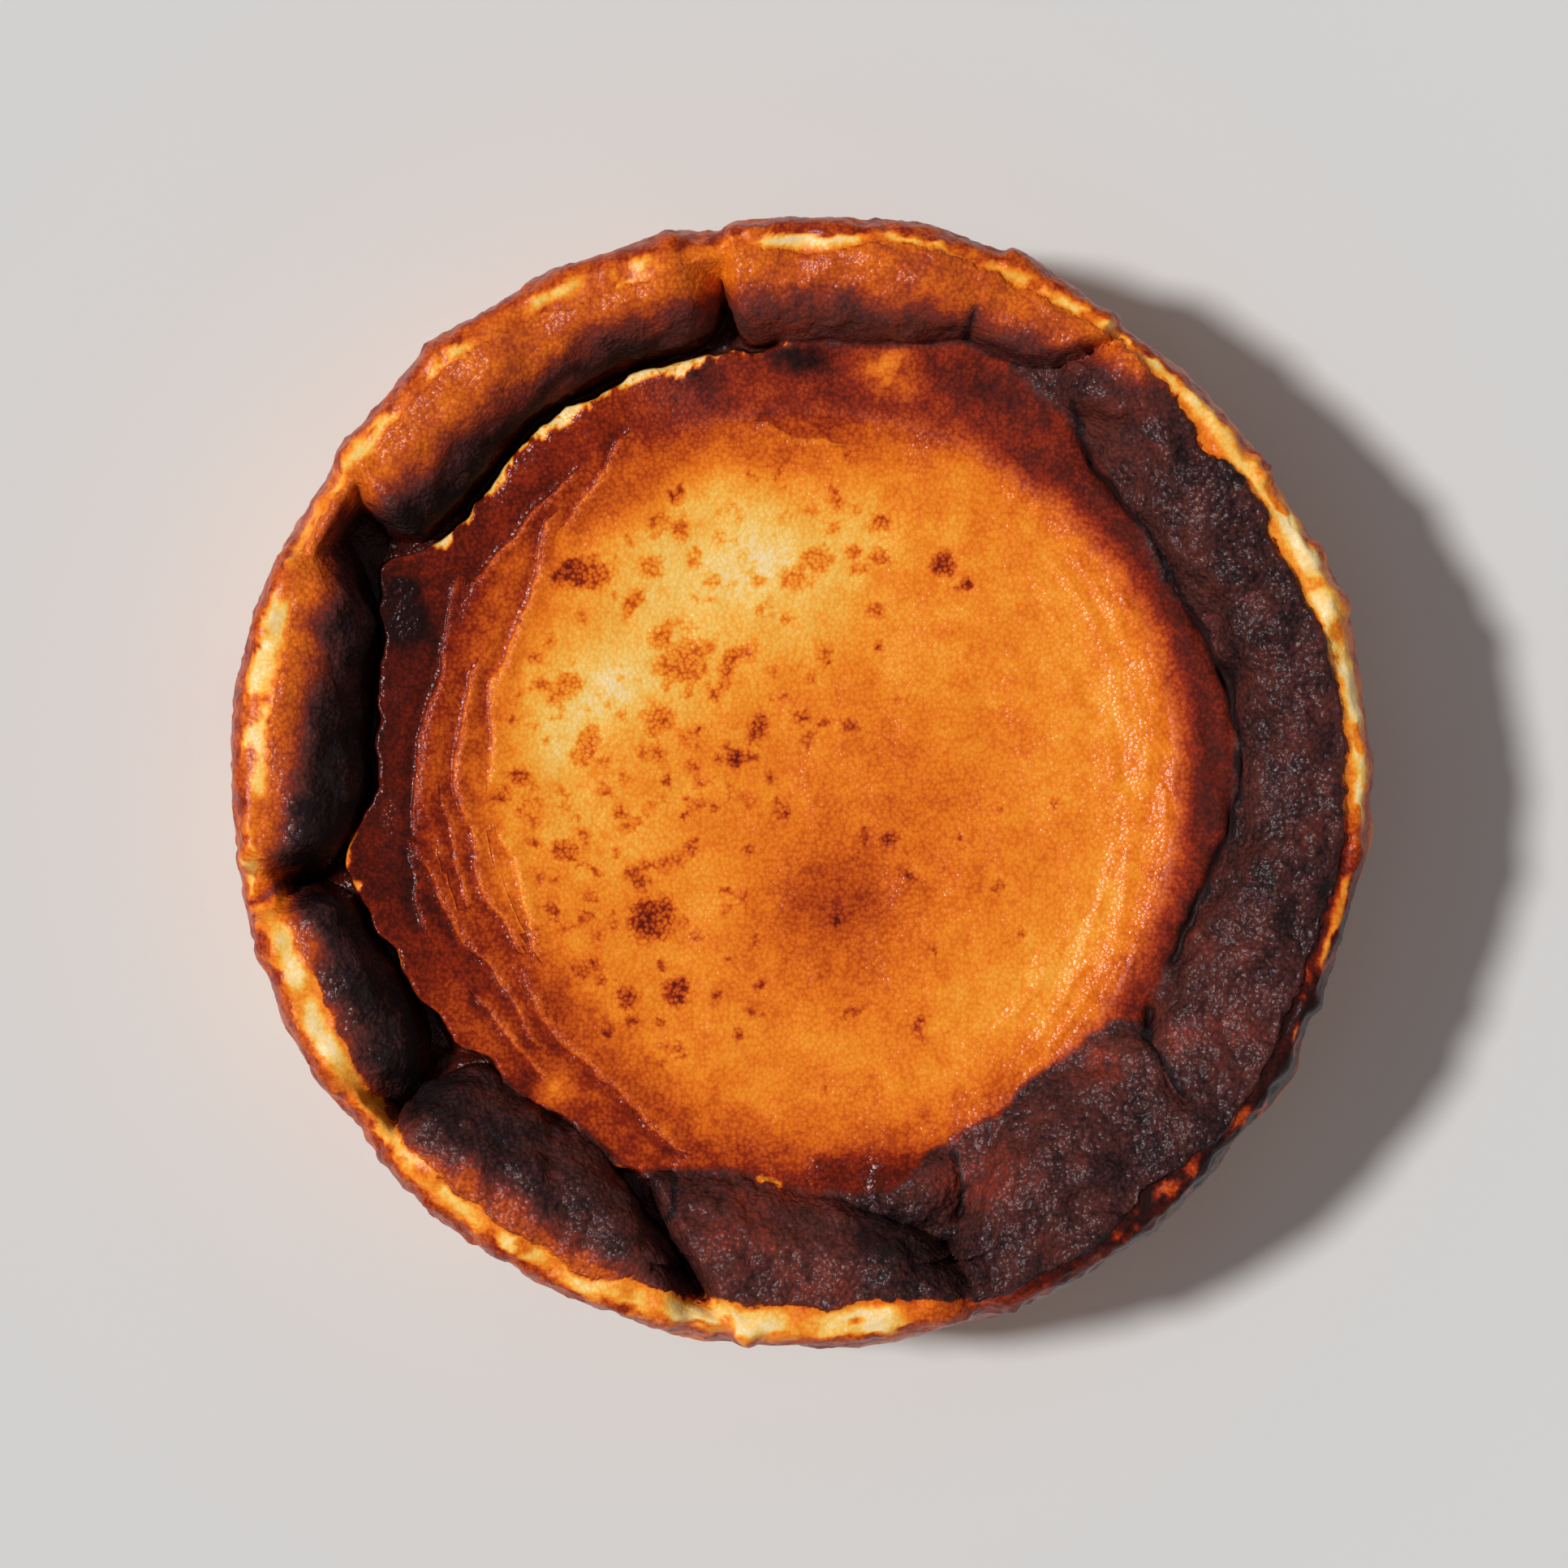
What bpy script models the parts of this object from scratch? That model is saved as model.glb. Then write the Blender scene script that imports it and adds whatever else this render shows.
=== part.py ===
"""A whole basque cheesecake, baked in a lined round tin and sunk in the middle.

The cake is one solid. Its underside is flat and its side nearly upright. The rim is a ring of puffed rolls
that bulge inward and meet in sharp folds. Inside it the middle has sunk into a shallow dish, whose crust has
torn away from the rim on the left and left a deep gap there.

Lengths are in millimetres and become metres as the mesh is made. Angles are in degrees, anticlockwise from
+X as seen from above. The origin is the middle of the underside.
"""

import bmesh
import bpy
import numpy as np

METRES = 0.001
TURN = 360.0

# Side and underside
CAKE_RADIUS = 99.4  # mean radius where the side is widest
WIDEST_HEIGHT = 40.0  # level of the widest place, where the shoulder starts to lean in
SIDE_TAPER = 1.6  # how much narrower the side is near the underside
TAPER_POWER = 1.5
BOTTOM_ROUND = 1.8  # radius of the edge round the underside
SIDE_LEVELS = (0.0, 0.6, 1.8, 10.0, 20.0, 30.0)  # rows of the side below the widest one

# Bulges and hollows of the outline: (angle, half width in degrees, how far out)
BULGES = (
    (3, 10, 1.0),
    (20, 6, 1.3),
    (43, 12, -0.7),
    (66, 5, 1.2),
    (77, 7, 1.1),
    (130, 4, 1.6),
    (119, 8, 0.9),
    (147, 10, 0.9),
    (168, 14, 1.2),
    (191, 4, 1.0),
    (203, 8, 0.5),
    (252, 30, -0.8),
    (283, 4, -0.6),
    (318, 5, -0.8),
    (341, 7, -1.0),
)

# Upright creases that the folded paper left in the side: (angle, half width in degrees, depth)
PLEATS = (
    (8.5, 2.0, 0.9),
    (31, 2.2, 1.1),
    (54, 2.0, 1.4),
    (71, 1.8, 1.2),
    (86, 2.2, 1.4),
    (99, 2.0, 1.3),
    (111, 2.4, 1.5),
    (125, 2.0, 0.9),
    (149, 2.2, 1.2),
    (165, 2.2, 1.5),
    (185, 2.4, 1.0),
    (197, 2.2, 1.2),
    (217, 2.0, 1.3),
    (236, 2.2, 1.4),
    (251, 1.8, 1.6),
    (268, 2.2, 1.0),
    (285, 2.2, 1.5),
    (303, 2.0, 1.1),
    (322, 2.2, 1.4),
    (334, 2.0, 1.2),
    (346, 2.2, 1.4),
)
PLEAT_TOP = 57.0  # level above which a pleat has run out
PLEAT_BOTTOM = 6.0
PLEAT_START = (88.0, 94.0)  # radii between which the pleats set in on the top

# Outer wall of the rim, which also closes the folds between the rolls
WALL_CREST = 94.0
WALL_TOP = ((20, 53.5), (62, 55.0), (85, 56.0), (100, 58.4), (120, 56.0), (151, 57.8), (175, 55.5), (191, 55.4),
            (216, 56.4), (236, 54.5), (257, 56.2), (270, 54.5), (289, 55.6), (300, 53.5))
WALL_FOOT = ((20, 89.5), (85, 88.5), (100, 87.6), (120, 89.0), (150, 91.6), (175, 90.5), (191, 91.0), (216, 91.4),
             (257, 90.0), (289, 90.0), (320, 89.5))

# Rolls of the rim. start and end are angles at the roll's inner foot and at its outer edge. foot holds
# (angle, radius) places of the inner edge, crest the radius of the ridge at the start and end, top the
# ridge's level, and ends how long the rounding at the start and end is. swell is 0.5 where the inner side is
# round and steep at its foot, and more where it rises gently. lean below 1 draws the ends of the roll, on the
# way out from its foot, sooner toward where they lie at the outer edge.
ROLLS = {
    "left_upper": {
        "start": (98.6, 98.4),
        "end": (150.5, 147.5),
        "foot": ((99, 77.4), (107, 78.8), (118, 79.0), (125, 79.4), (132, 78.0), (140, 77.2), (148, 78.6)),
        "crest": (89.6, 90.6),
        "top": 59.6,
        "ends": (10.0, 6.0),
        "swell": 0.5,
        "lean": 1.0,
    },
    "left": {
        "start": (154.0, 151.5),
        "end": (189.5, 190.6),
        "foot": ((153, 80.6), (160, 78.4), (170, 76.8), (180, 76.0), (185, 77.6), (189, 79.0)),
        "crest": (92.4, 89.0),
        "top": 60.4,
        "ends": (13.0, 7.0),
        "swell": 0.5,
        "lean": 1.0,
    },
    "left_lower": {
        "start": (191.5, 191.2),
        "end": (218.2, 217.4),
        "foot": ((191, 80.2), (198, 79.4), (206, 77.6), (215, 76.6), (218, 75.6)),
        "crest": (89.0, 89.4),
        "top": 59.2,
        "ends": (7.0, 13.0),
        "swell": 0.5,
        "lean": 1.0,
    },
    "front_left": {
        "start": (218.0, 218.8),
        "end": (244.0, 261.0),
        "foot": ((217, 76.6), (220.5, 72.8), (225, 73.4), (230, 72.2), (236, 71.4), (245, 73.0), (257, 77.0)),
        "crest": (86.8, 86.0),
        "top": 59.8,
        "ends": (6.0, 10.0),
        "swell": 0.6,
        "lean": 0.75,
    },
    "front": {
        "start": (238.0, 260.5),
        "end": (277.0, 291.5),
        "foot": ((242, 74.6), (252, 70.4), (260, 68.1), (270, 70.0), (282, 72.4)),
        "crest": (84.0, 85.5),
        "top": 59.2,
        "ends": (5.0, 11.0),
        "swell": 0.65,
        "lean": 0.6,
    },
    "right": {
        "start": (291.0, 284.0),
        "end": (424.0, 418.0),
        "foot": ((282, 72.0), (290, 67.0), (301, 66.2), (308, 64.4), (314, 66.0), (322, 67.0), (326, 71.8),
                 (332, 70.8), (341, 70.6), (350, 73.4), (361, 75.0), (370, 75.8), (382, 74.8), (388.5, 72.0),
                 (396, 73.6), (402, 75.2), (412, 77.8), (424, 80.5)),
        "crest": (86.5, 87.5),
        "top": 57.6,
        "ends": (14.0, 8.0),
        "swell": 0.85,
        "lean": 1.0,
    },
    "back": {
        "start": (59.6, 54.0),
        "end": (74.5, 75.5),
        "foot": ((58, 82.6), (66, 81.8), (72, 82.6)),
        "crest": (89.4, 89.6),
        "top": 59.6,
        "ends": (5.0, 8.0),
        "swell": 0.5,
        "lean": 1.0,
    },
    "back_left": {
        "start": (66.5, 64.5),
        "end": (99.0, 99.6),
        "foot": ((68, 82.6), (75, 79.4), (81, 77.4), (98, 77.0)),
        "crest": (89.4, 89.2),
        "top": 60.2,
        "ends": (8.0, 3.5),
        "swell": 0.5,
        "lean": 1.0,
    },
}
ROLL_SOFTNESS = 0.9  # how far two surfaces blend where they meet
SHOULDER_POWER = 8.0  # how squarely the outer side of the rim turns into the upright side
ROLL_SETTING = 2.5  # how far the foot of a roll sinks below the middle that it lies against

# Sunken middle
DISC_LEVEL = 46.2  # level of its centre
DISC_RISE = 2.6  # how much it rises to the torn edge
DISC_EDGE = 76.0
SLOPE_END = 82.0  # radius where the rise on the right ends
SLOPE_RISE = 2.6  # extra rise on the right, where the crust runs up to the rim
SLOPE_MIDDLE = 355.0
SLOPE_REACH = 85.0
SLOPE_START = 48.0
LIP_CURL = 0.9  # how much the torn edge turns up
LIP_CURL_WIDTH = 3.5

# Torn edge of the middle's crust: (angle, radius)
TORN_EDGE = (
    (70, 84),
    (90, 78.5),
    (95, 76.8),
    (100, 76.4),
    (107, 77.6),
    (118, 77.8),
    (124, 78.2),
    (130, 77.6),
    (136, 76.2),
    (144, 75.6),
    (148, 77.6),
    (152.5, 83.2),
    (156, 81.2),
    (160, 77.6),
    (168, 75.9),
    (180, 75.0),
    (190, 81.2),
    (198, 78.6),
    (206, 76.6),
    (216, 75.6),
    (220.5, 72.6),
    (225, 73.6),
    (230, 72.6),
    (236, 72.0),
    (245, 73.8),
    (251, 72.0),
    (262, 74.0),
    (290, 84),
    (360, 88),
)
# Places where the torn edge is lifted: (angle, half width in degrees, lift)
LIFTS = (
    (152.5, 3.2, 1.2),
    (190.0, 4.5, 1.8),
)

# Gap between the rim and the torn edge: levels of its floor where it is open and where it is shut
GAP_FLOOR = 38.5
SHUT_FLOOR = 44.5
GAP_ENDS = ((92.0, 103.0), (212.0, 224.0))  # where the gap deepens and where it runs out
TEAR_WIDTH = 1.6  # how far the torn edge's face spreads

# Creases in the rim's crust and along its foot: points (angle, radius), half width, depth
CREASES = (
    (((191.6, 99.0), (190.8, 92.0), (190.0, 87.0)), 2.4, 4.0),
    (((10.8, 92.5), (11.2, 85.0), (12.5, 78.0)), 1.6, 0.6),
    (((29.0, 88.0), (29.5, 80.0), (28.5, 73.0)), 1.8, 0.8),
    (((252.8, 77.5), (251.6, 71.0)), 1.0, 1.2),
    (((320.5, 86.0), (321.6, 81.0), (323.5, 75.0), (327.0, 71.0)), 1.4, 2.4),
    (((318.3, 71.5), (320.4, 75.0), (321.0, 79.0)), 1.2, 0.8),
    (((291.9, 69.5), (291.6, 72.0), (291.0, 75.3), (289.8, 79.2)), 1.1, 0.9),
    (((334.0, 71.2), (341.0, 71.2), (349.5, 73.0), (358.5, 75.8), (368.8, 76.1), (375.0, 75.6)), 1.5, 1.4),
    (((14.0, 75.6), (19.0, 75.0), (27.1, 73.6), (33.0, 74.3), (40.0, 74.4), (48.0, 75.6)), 1.5, 1.4),
    (((48.0, 75.6), (52.0, 78.0), (55.0, 81.5)), 1.5, 1.0),
    (((353.0, 91.0), (354.5, 82.0), (355.0, 75.5)), 1.8, 0.6),
    (((70.2, 87.5), (70.0, 82.0)), 1.3, 1.2),
)

CREASE_SHARPNESS = 0.3  # the less, the sharper the bottom of a crease
CREASE_FADE = (96.0, 99.0)  # radii between which creases run out toward the outline

# Wrinkles in the middle's crust: first and last angle, radius at the start, middle and end, depth
WRINKLES = (
    (126, 158, 68.2, 68.6, 67.2, 0.9),
    (156, 189, 67.2, 67.2, 67.6, 1.1),
    (188, 212, 69.5, 66.4, 64.2, 1.0),
    (138, 166, 60.8, 58.2, 56.2, 0.7),
    (160, 202, 61.4, 61.2, 59.6, 0.8),
    (212, 232, 60.0, 61.2, 61.8, 0.5),
)
WRINKLE_WIDTH = 1.5
WRINKLE_ENDS = 0.2  # share of a wrinkle's length over which it runs out at each end
RIDGE_SHARE = 0.6  # how high the fold inside a wrinkle stands, as a share of its depth
RIDGE_OFFSET = 1.5  # how far inward of the wrinkle that fold lies, and how far outward its groove,
GROOVE_OFFSET = 0.2  # both as shares of the half width

# Uneven swelling of the baked surface: lumps about this far apart, this high on the rim
SWELLING = (
    (31.0, 0.9),
    (17.0, 0.55),
    (9.5, 0.3),
)
SWELLING_ON_DISC = 0.22
SWELLING_RISE = (68.0, 80.0)  # radii between which the rim's full swelling sets in
SWELLING_FADE = (92.0, 98.0)  # and between which it runs out toward the outline
SWELLING_WAVES = 5  # directions that the lumps' waves run in
SWELLING_SEED = 7
WOBBLE = 0.9  # how far the waves bend to and fro, as an angle in their turn
WOBBLE_RATE = 2.3  # how often they do, the more the oftener

# Small knobs that swell out of the middle beside the rolls: x, y, half length, half width, tilt, height
KNOBS = ((20.0, -70.5, 9.0, 7.4, -15, 3.6),)
KNOB_POWER = 1.5  # how gently a knob swells up at its edge

# How finely the solid is cut into facets
COLUMNS = 156
TOP_ROWS = 36
HALVED_FROM = (24, 31)  # rows where the number of columns halves
FOLD_ANGLES = (10, 28, 55, 70, 99, 102, 150, 154, 190, 193, 216, 219, 250, 257, 285, 290, 323, 353)
FOLD_CROWDING = 1.6
FOLD_REACH = 3.0
PROFILE_SAMPLES = 700
DISC_ROW_SHARE = 0.42  # how closely rows lie on the smooth middle, against the rim
RIM_ROWS_FROM = (57.0, 63.0)
SHARP_ANGLE = 50.0

CRUST_COLOUR = (0.22, 0.065, 0.022, 1.0)
CRUST_ROUGHNESS = 0.5


def clear_scene():
    """Take away whatever the scene holds."""
    for thing in list(bpy.data.objects):
        bpy.data.objects.remove(thing, do_unlink=True)


def turn_between(angle, middle):
    """Signed turn from middle to angle, within half a turn."""
    return (angle - middle + TURN / 2) % TURN - TURN / 2


def ramp(value, low, high):
    """Smooth step from 0 at low to 1 at high."""
    t = np.clip((value - low) / (high - low), 0.0, 1.0)
    return t * t * (3.0 - 2.0 * t)


def hump(turn, half_width):
    """Round hump, 1 at no turn and near 0 past its half width."""
    return np.exp(-((turn / half_width) ** 2))


def blend_up(one, other, softness):
    """The higher of two surfaces, with the crease between them filled a little."""
    near = np.clip(softness - np.abs(one - other), 0.0, None) / softness
    return np.maximum(one, other) + near * near * softness / 4.0


def curve(knots, place):
    """Smooth curve through (place, value) knots, which never overshoots them and runs level at its ends."""
    at, value = np.array(knots, float).T
    run = np.diff(at)
    slope = np.diff(value) / run
    tangent = np.zeros_like(value)
    same_way = slope[:-1] * slope[1:] > 0
    total = np.where(same_way, slope[:-1] + slope[1:], 1.0)
    tangent[1:-1] = np.where(same_way, 2.0 * slope[:-1] * slope[1:] / total, 0.0)
    place = np.clip(place, at[0], at[-1])
    i = np.clip(np.searchsorted(at, place, side="right") - 1, 0, len(run) - 1)
    t = (place - at[i]) / run[i]
    between = value[i] * (1 + 2 * t) * (1 - t) ** 2 + value[i + 1] * t * t * (3 - 2 * t)
    return between + run[i] * t * (1 - t) * (tangent[i] * (1 - t) - tangent[i + 1] * t)


def around(knots, angle):
    """Smooth closed curve through (angle, value) knots."""
    before = tuple((at - TURN, value) for at, value in knots[-2:])
    after = tuple((at + TURN, value) for at, value in knots[:2])
    return curve(before + tuple(knots) + after, np.mod(angle, TURN))


def bend(values, t):
    """Parabola through three values at t = 0, 0.5 and 1."""
    first, middle, last = values
    return first * (1 - t) * (1 - 2 * t) + 4 * middle * t * (1 - t) + last * t * (2 * t - 1)


def outline(angle):
    """Radius where the side is widest."""
    return CAKE_RADIUS + sum(out * hump(turn_between(angle, at), width) for at, width, out in BULGES)


def pleats(angle, level):
    """How far the paper's creases press into the side."""
    fade = ramp(level, PLEAT_BOTTOM, WIDEST_HEIGHT) * (1.0 - ramp(level, WIDEST_HEIGHT, PLEAT_TOP))
    return fade * sum(depth * hump(turn_between(angle, at), width) for at, width, depth in PLEATS)


def side_radius(angle, level):
    """Radius of the side at a level below the widest place."""
    below = 1.0 - level / WIDEST_HEIGHT
    edge = max(0.0, 1.0 - level / BOTTOM_ROUND)
    rounding = BOTTOM_ROUND * (1.0 - np.sqrt(1.0 - edge * edge))
    return outline(angle) - SIDE_TAPER * below**TAPER_POWER - rounding - pleats(angle, level)


def roll_height(roll, radius, angle, floor):
    """Height of one roll of the rim, which is no higher than its floor where it has ended."""
    widest = outline(angle)
    middle = (sum(roll["start"]) + sum(roll["end"])) / 4.0
    along = middle + turn_between(angle, middle)
    inmost = min(radius for _, radius in roll["foot"])
    outward = np.clip((radius - inmost) / (WALL_CREST - inmost), 0.0, 1.0) ** roll["lean"]
    start = roll["start"][0] + (roll["start"][1] - roll["start"][0]) * outward
    end = roll["end"][0] + (roll["end"][1] - roll["end"][0]) * outward
    foot = curve(roll["foot"], along)
    crest_share = np.clip((along - start) / (end - start), 0.0, 1.0)
    crest = roll["crest"][0] + (roll["crest"][1] - roll["crest"][0]) * crest_share
    arc = np.radians(1.0) * radius
    past_start = 1.0 - (along - start) * arc / roll["ends"][0]
    past_end = 1.0 - (end - along) * arc / roll["ends"][1]
    cap = np.clip(np.maximum(past_start, past_end), 0.0, 1.0)
    inside = radius < crest
    inward = np.clip((crest - radius) / (crest - foot), 0.0, 1.0)
    inner = 1.0 - (1.0 - inward**2) ** (2.0 * roll["swell"])
    ended = 1.0 - (1.0 - cap**2) ** (2.0 * roll["swell"])
    outer = np.clip((radius - crest) / (widest - crest), 0.0, 1.0) ** SHOULDER_POWER
    body = np.clip(1.0 - inner - outer - ended, 0.0, 1.0)
    base = np.where(inside, floor, WIDEST_HEIGHT)
    return np.where(body > 0.0, base + (roll["top"] - base) * np.sqrt(body), 0.0)


def knob_swell(radius, angle):
    """How far the small knobs swell up out of the middle."""
    x = radius * np.cos(np.radians(angle))
    y = radius * np.sin(np.radians(angle))
    swell = np.zeros_like(radius)
    for at_x, at_y, long, wide, tilt, height in KNOBS:
        c, s = np.cos(np.radians(tilt)), np.sin(np.radians(tilt))
        dx, dy = x - at_x, y - at_y
        off = ((dx * c + dy * s) / long) ** 2 + ((dy * c - dx * s) / wide) ** 2
        swell += height * np.clip(1.0 - off, 0.0, 1.0) ** KNOB_POWER
    return swell


def wall_height(radius, angle, floor):
    """Height of the rim's outer wall."""
    widest = outline(angle)
    foot = around(WALL_FOOT, angle)
    inner = np.clip((WALL_CREST - radius) / (WALL_CREST - foot), 0.0, 1.0) ** 2
    outer = np.clip((radius - WALL_CREST) / (widest - WALL_CREST), 0.0, 1.0) ** 2
    base = np.where(radius < WALL_CREST, floor, WIDEST_HEIGHT)
    return base + (around(WALL_TOP, angle) - base) * np.sqrt(1.0 - np.maximum(inner, outer))


def torn_edge(angle):
    """Radius of the middle's torn edge, and how far it is lifted there."""
    lift = sum(up * hump(turn_between(angle, at), width) for at, width, up in LIFTS)
    return around(TORN_EDGE, angle), lift


def gap_share(angle):
    """How far the gap between the rim and the torn edge is open, from 0 to 1."""
    (first, deep), (shallow, last) = GAP_ENDS
    angle = np.mod(angle, TURN)
    return ramp(angle, first, deep) * (1.0 - ramp(angle, shallow, last))


def disc_height(radius, angle):
    """Height of the sunken middle, without its torn edge."""
    level = DISC_LEVEL + DISC_RISE * (radius / DISC_EDGE) ** 2
    facing = ramp(np.abs(turn_between(angle, SLOPE_MIDDLE)), SLOPE_REACH, 0.0)
    return level + SLOPE_RISE * facing * ramp(radius, SLOPE_START, SLOPE_END)


def middle_height(radius, angle, floor):
    """Height of the middle with its torn edge, which drops to the gap's floor."""
    edge, lift = torn_edge(angle)
    inward = edge - radius
    curl = (LIP_CURL + lift) * np.exp(-np.clip(inward, 0.0, None) / LIP_CURL_WIDTH)
    top = disc_height(radius, angle) + curl
    return floor + (top - floor) * ramp(inward, -TEAR_WIDTH / 2, TEAR_WIDTH / 2)


def distance_to_path(path, radius, angle):
    """Shortest distance from each place to a line through (angle, radius) points."""
    x = radius * np.cos(np.radians(angle))
    y = radius * np.sin(np.radians(angle))
    corners = [(r * np.cos(np.radians(a)), r * np.sin(np.radians(a))) for a, r in path]
    nearest = np.full_like(x, np.inf)
    for (x0, y0), (x1, y1) in zip(corners, corners[1:]):
        run_x, run_y = x1 - x0, y1 - y0
        t = np.clip(((x - x0) * run_x + (y - y0) * run_y) / (run_x**2 + run_y**2), 0.0, 1.0)
        nearest = np.minimum(nearest, np.hypot(x - x0 - t * run_x, y - y0 - t * run_y))
    return nearest


def crease_depth(radius, angle):
    """How deep the sharp creases cut into the crust."""
    cuts = 0.0
    for path, width, depth in CREASES:
        off = distance_to_path(path, radius, angle) / width
        cuts = cuts + depth * np.exp(-off * off / (CREASE_SHARPNESS + off))
    return cuts * (1.0 - ramp(radius, *CREASE_FADE))


def wrinkle_height(radius, angle):
    """Grooves of the middle's crust, each with a low fold on its inner side."""
    height = np.zeros_like(radius)
    for first, last, r0, r1, r2, depth in WRINKLES:
        t = (np.mod(angle, TURN) - first) / (last - first)
        fade = ramp(t, 0.0, WRINKLE_ENDS) * ramp(t, 1.0, 1.0 - WRINKLE_ENDS)
        off = (radius - bend((r0, r1, r2), np.clip(t, 0.0, 1.0))) / WRINKLE_WIDTH
        ridge = RIDGE_SHARE * hump(off + RIDGE_OFFSET, 1.0)
        height += depth * fade * (ridge - hump(off - GROOVE_OFFSET, 1.0))
    return height


def lumps(x, y, spacing, generator):
    """Uneven lumps between -1 and 1, about the given spacing apart."""
    total = np.zeros_like(x)
    for number in range(SWELLING_WAVES):
        heading = np.pi * (number + generator.random()) / SWELLING_WAVES
        along = x * np.cos(heading) + y * np.sin(heading)
        across = y * np.cos(heading) - x * np.sin(heading)
        wobble = WOBBLE * np.sin(across / spacing * WOBBLE_RATE + 2.0 * np.pi * generator.random())
        total += np.sin(2.0 * np.pi * (along / spacing + generator.random()) + wobble)
    return total / np.sqrt(SWELLING_WAVES * 2.0)


def swelling(radius, angle):
    """Low uneven lumps, strong on the rim and faint over the smooth middle."""
    x = radius * np.cos(np.radians(angle))
    y = radius * np.sin(np.radians(angle))
    strength = SWELLING_ON_DISC + (1.0 - SWELLING_ON_DISC) * ramp(radius, *SWELLING_RISE)
    strength = strength * (1.0 - ramp(radius, *SWELLING_FADE))
    generator = np.random.default_rng(SWELLING_SEED)
    return strength * sum(height * lumps(x, y, spacing, generator) for spacing, height in SWELLING)


def top_height(radius, angle):
    """Height of the cake's top anywhere inside its widest outline."""
    gap = gap_share(angle)
    floor = SHUT_FLOOR + (GAP_FLOOR - SHUT_FLOOR) * gap
    middle = middle_height(radius, angle, floor) + knob_swell(radius, angle)
    height = blend_up(wall_height(radius, angle, floor), middle, ROLL_SOFTNESS)
    setting = disc_height(np.minimum(radius, DISC_EDGE), angle) - ROLL_SETTING
    foot = floor * gap + setting * (1.0 - gap)
    for roll in ROLLS.values():
        height = blend_up(height, roll_height(roll, radius, angle, foot), ROLL_SOFTNESS)
    return height + wrinkle_height(radius, angle) + swelling(radius, angle) - crease_depth(radius, angle)


def column_angles(count):
    """Angles of the columns of facets, closer together at the folds."""
    fine = np.linspace(0.0, TURN, 3601)
    density = np.ones_like(fine)
    for at in FOLD_ANGLES:
        density += FOLD_CROWDING * hump(turn_between(fine, at), FOLD_REACH)
    total = np.concatenate(([0.0], np.cumsum((density[1:] + density[:-1]) / 2.0)))
    return np.interp(np.arange(count) / count, total / total[-1], fine)


def row_radii(angles, count):
    """Radii of the rows of facets at each column, closer together where the top is steep."""
    share = np.linspace(1.0, 0.0, PROFILE_SAMPLES)
    angle = np.broadcast_to(angles, (PROFILE_SAMPLES, len(angles)))
    radius = share[:, None] * outline(angles)
    height = top_height(radius, angle)
    step = np.hypot(np.diff(radius, axis=0), np.diff(height, axis=0))
    step = step * (DISC_ROW_SHARE + (1.0 - DISC_ROW_SHARE) * ramp(radius[1:], *RIM_ROWS_FROM))
    length = np.concatenate((np.zeros((1, len(angles))), np.cumsum(step, axis=0)))
    length /= length[-1]
    length = (np.roll(length, 1, axis=1) + 2.0 * length + np.roll(length, -1, axis=1)) / 4.0
    wanted = np.arange(count) / count
    return np.array([np.interp(wanted, length[:, i], radius[:, i]) for i in range(len(angles))]).T


def place(radius, angle, height):
    """Corners of one ring, in metres."""
    x = radius * np.cos(np.radians(angle))
    y = radius * np.sin(np.radians(angle))
    return np.stack((x, y, np.broadcast_to(height, x.shape)), axis=1) * METRES


def cake_rings():
    """Rings of corners from the underside's edge, up the side and in over the top to near the centre."""
    angles = column_angles(COLUMNS)
    rings = []
    for level in SIDE_LEVELS:
        rings.append(place(side_radius(angles, level), angles, level))
    radii = row_radii(angles, TOP_ROWS)
    for row, radius in enumerate(radii):
        stride = 2 ** sum(row >= first for first in HALVED_FROM)
        kept = slice(None, None, stride)
        pressed = radius[kept] - pleats(angles[kept], top_height(radius[kept], angles[kept]))
        steady = ramp(radius[kept], *PLEAT_START)
        drawn = pressed * steady + radius[kept] * (1.0 - steady)
        rings.append(place(drawn, angles[kept], top_height(radius[kept], angles[kept])))
    return rings


def bridge(mesh, lower, upper):
    """Faces between two rings, the upper one with as many corners or half as many."""
    count = len(lower)
    if len(upper) == count:
        for i in range(count):
            j = (i + 1) % count
            mesh.faces.new((lower[i], lower[j], upper[j], upper[i]))
        return
    for i in range(len(upper)):
        j = (i + 1) % len(upper)
        mesh.faces.new((lower[2 * i], lower[2 * i + 1], upper[i]))
        mesh.faces.new((lower[2 * i + 1], upper[j], upper[i]))
        mesh.faces.new((lower[2 * i + 1], lower[(2 * i + 2) % count], upper[j]))


def close_ring(mesh, ring, centre, facing_up):
    """Fan of faces from a ring to a point in its middle."""
    middle = mesh.verts.new(centre)
    for i, corner in enumerate(ring):
        following = ring[(i + 1) % len(ring)]
        mesh.faces.new((corner, following, middle) if facing_up else (following, corner, middle))


def crust_material():
    """Browned, slightly glossy crust."""
    material = bpy.data.materials.new("browned_crust")
    material.use_nodes = True
    shader = material.node_tree.nodes["Principled BSDF"]
    shader.inputs["Base Color"].default_value = CRUST_COLOUR
    shader.inputs["Roughness"].default_value = CRUST_ROUGHNESS
    shader.inputs["Metallic"].default_value = 0.0
    return material


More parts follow.
